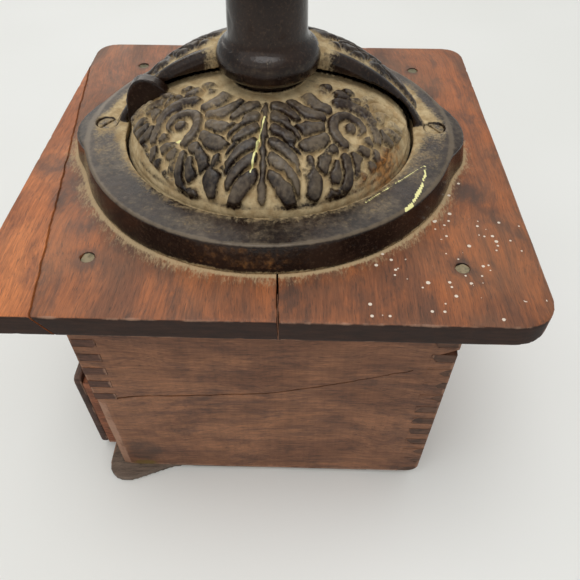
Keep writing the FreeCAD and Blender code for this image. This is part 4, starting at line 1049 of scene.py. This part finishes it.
def nail_heads():
    """Top board nails with ragged, dusty heads; those at the back are darker."""
    obj = copy_of("top_board_nails", "top_board_nails_worn")
    remesh(obj, 0.35 * MM)
    co = coordinates(obj)
    head = smoothstep(DECK - 1.8 * MM, DECK - 1.2 * MM, co[:, 2])
    ragged = noise(co, 1.5 * MM, 64, octaves=2)
    place(obj, co + normals(obj) * (head * (0.34 * ragged - 0.16) * MM)[:, None])
    front = smoothstep(0.0, 20 * MM, co[:, 0])
    store(obj, "dust", (0.22 + 0.5 * front) * (1.0 + 0.3 * noise(co, 2 * MM, 65)))
    finish_piece(obj, "top_board_nails", "mill", NAIL_IRON)


# ---------------------------------------------------------------- crank and knobs
def worn_iron(node, body, voxel, smoothing, grain=0.06 * MM):
    obj = copy_of(node, node + "_worn")
    remesh(obj, voxel, smoothing=smoothing)
    co = coordinates(obj)
    place(obj, co + normals(obj) * (grain * noise(co, 4 * MM, 67, octaves=3))[:, None])
    blotch = noise(co, 12 * MM, 77, octaves=3)
    store(obj, "dust", 0.12 + 0.2 * blotch)
    store(obj, "wear_and_highlight", 0.35 + 0.25 * blotch)
    store(obj, "rust", 0.15 + 0.2 * noise(co, 8 * MM, 79, octaves=2))
    finish_piece(obj, node, body, BLACK_IRON)


def turned_knob(node, body, material, axis, voxel=0.6 * MM):
    """A wooden knob with the fine rings a turner leaves."""
    obj = copy_of(node, node + "_turned")
    remesh(obj, voxel, smoothing=2)
    co = coordinates(obj)
    low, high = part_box(node)
    along = co[:, AXES[axis]] - low[AXES[axis]]
    rings = 0.035 * MM * np.sin(along / (0.55 * MM)) + 0.06 * MM * noise(co, 6 * MM, 87, octaves=2)
    place(obj, co + normals(obj) * (rings - 0.06 * MM)[:, None])
    store(obj, "wear_and_highlight", 0.2 + 0.25 * noise(co, 7 * MM, 89, octaves=2))
    finish_piece(obj, node, body, material)


def dress_cad_nodes():
    """Materials for the nodes that are shown with their own CAD shape."""
    finishes = {"screw_steel": STEEL, "bare_iron": BARE_IRON, "nail_iron": NAIL_IRON}
    slots = {s["node"]: s["material_slot"] for s in frame["record"]["subparts"]}
    for node, obj in frame["nodes"].items():
        if obj.hide_render:
            continue
        obj.data.materials.clear()
        obj.data.materials.append(finishes[slots[node]])


# ---------------------------------------------------------------- studio
ROOM_LIGHT = 0.60
ROOM_LIGHT_BEHIND = 0.56
CAMERA_PLACE = Vector((203.3, 12.93, 276.6)) * MM
CAMERA_YAW = math.radians(-1.349)
CAMERA_PITCH = math.radians(47.341)
CAMERA_ROLL = math.radians(0.214)
CAMERA_LENS = 35.81


def camera():
    forward = Vector((-math.cos(CAMERA_YAW) * math.cos(CAMERA_PITCH),
                      math.sin(CAMERA_YAW) * math.cos(CAMERA_PITCH), -math.sin(CAMERA_PITCH)))
    right = Vector((math.sin(CAMERA_YAW), math.cos(CAMERA_YAW), 0.0))
    up = right.cross(forward)
    cr, sr = math.cos(CAMERA_ROLL), math.sin(CAMERA_ROLL)
    right, up = cr * right + sr * up, -sr * right + cr * up
    data = bpy.data.cameras.new("camera")
    data.lens = CAMERA_LENS
    data.sensor_width = 36.0
    data.clip_start = 0.01
    obj = bpy.data.objects.new("camera", data)
    turn = Matrix((right, up, -forward)).transposed().to_4x4()
    obj.matrix_world = Matrix.Translation(CAMERA_PLACE) @ turn
    bpy.context.scene.collection.objects.link(obj)
    bpy.context.scene.camera = obj


def area_light(name, place_at, aim, size, power, tint=(1.0, 1.0, 1.0)):
    data = bpy.data.lights.new(name, "AREA")
    data.shape = "DISK"
    data.size = size
    data.energy = power
    data.color = tint
    obj = bpy.data.objects.new(name, data)
    obj.location = place_at
    obj.rotation_euler = (Vector(aim) - Vector(place_at)).to_track_quat("-Z", "Y").to_euler()
    bpy.context.scene.collection.objects.link(obj)
    return obj


def studio():
    reach = 3.0
    floor = new_object("floor", [(-reach, -reach, 0), (reach, -reach, 0), (reach, reach, 0), (-reach, reach, 0)],
                       [(0, 1, 2, 3)])
    floor.data.materials.append(plain_floor())
    floor.location.z = -0.1 * MM
    world = bpy.data.worlds.new("studio")
    world.use_nodes = True
    tree = world.node_tree
    background = tree.nodes["Background"]
    background.inputs["Color"].default_value = (0.99, 1.0, 0.985, 1.0)
    place_on_sky = tree.nodes.new("ShaderNodeTexCoord")
    direction = tree.nodes.new("ShaderNodeSeparateXYZ")
    dimmer = tree.nodes.new("ShaderNodeMapRange")  # the room is darker behind the camera
    for i, number in enumerate((0.1, 0.9, ROOM_LIGHT, ROOM_LIGHT_BEHIND)):
        dimmer.inputs[i + 1].default_value = number
    tree.links.new(place_on_sky.outputs["Generated"], direction.inputs[0])
    tree.links.new(direction.outputs["X"], dimmer.inputs[0])
    tree.links.new(dimmer.outputs[0], background.inputs["Strength"])
    bpy.context.scene.world = world
    sun = bpy.data.lights.new("sky_glow", "SUN")
    sun.energy = 0.75
    sun.angle = math.radians(80)
    glow = bpy.data.objects.new("sky_glow", sun)
    glow.rotation_euler = Vector((0.45, -0.25, 1.0)).to_track_quat("Z", "Y").to_euler()
    bpy.context.scene.collection.objects.link(glow)
    area_light("overhead", (0.15, -0.10, 1.4), (0, 0, 0.15), 0.7, 4.2)
    sheen = area_light("bright_wall", (-1.2, -0.35, 1.0), (0, 0, 0.15), 1.5, 9.0, (1.0, 0.94, 0.86))
    sheen.visible_diffuse = False  # only mirrored in the glossy pieces
    bpy.context.scene.view_settings.view_transform = "Standard"


# ---------------------------------------------------------------- build
top_boards()
box_boards()
drawer()
hopper_cover()
hopper_casting()
rusty_screws()
nail_heads()
worn_iron("crank_arm", "drive", 0.7 * MM, 3)
turned_knob("crank_knob", "knob", KNOB_WOOD, "Z")
turned_knob("drawer_knob", "drawer", PULL_WOOD, "Y")
dress_cad_nodes()
studio()
camera()
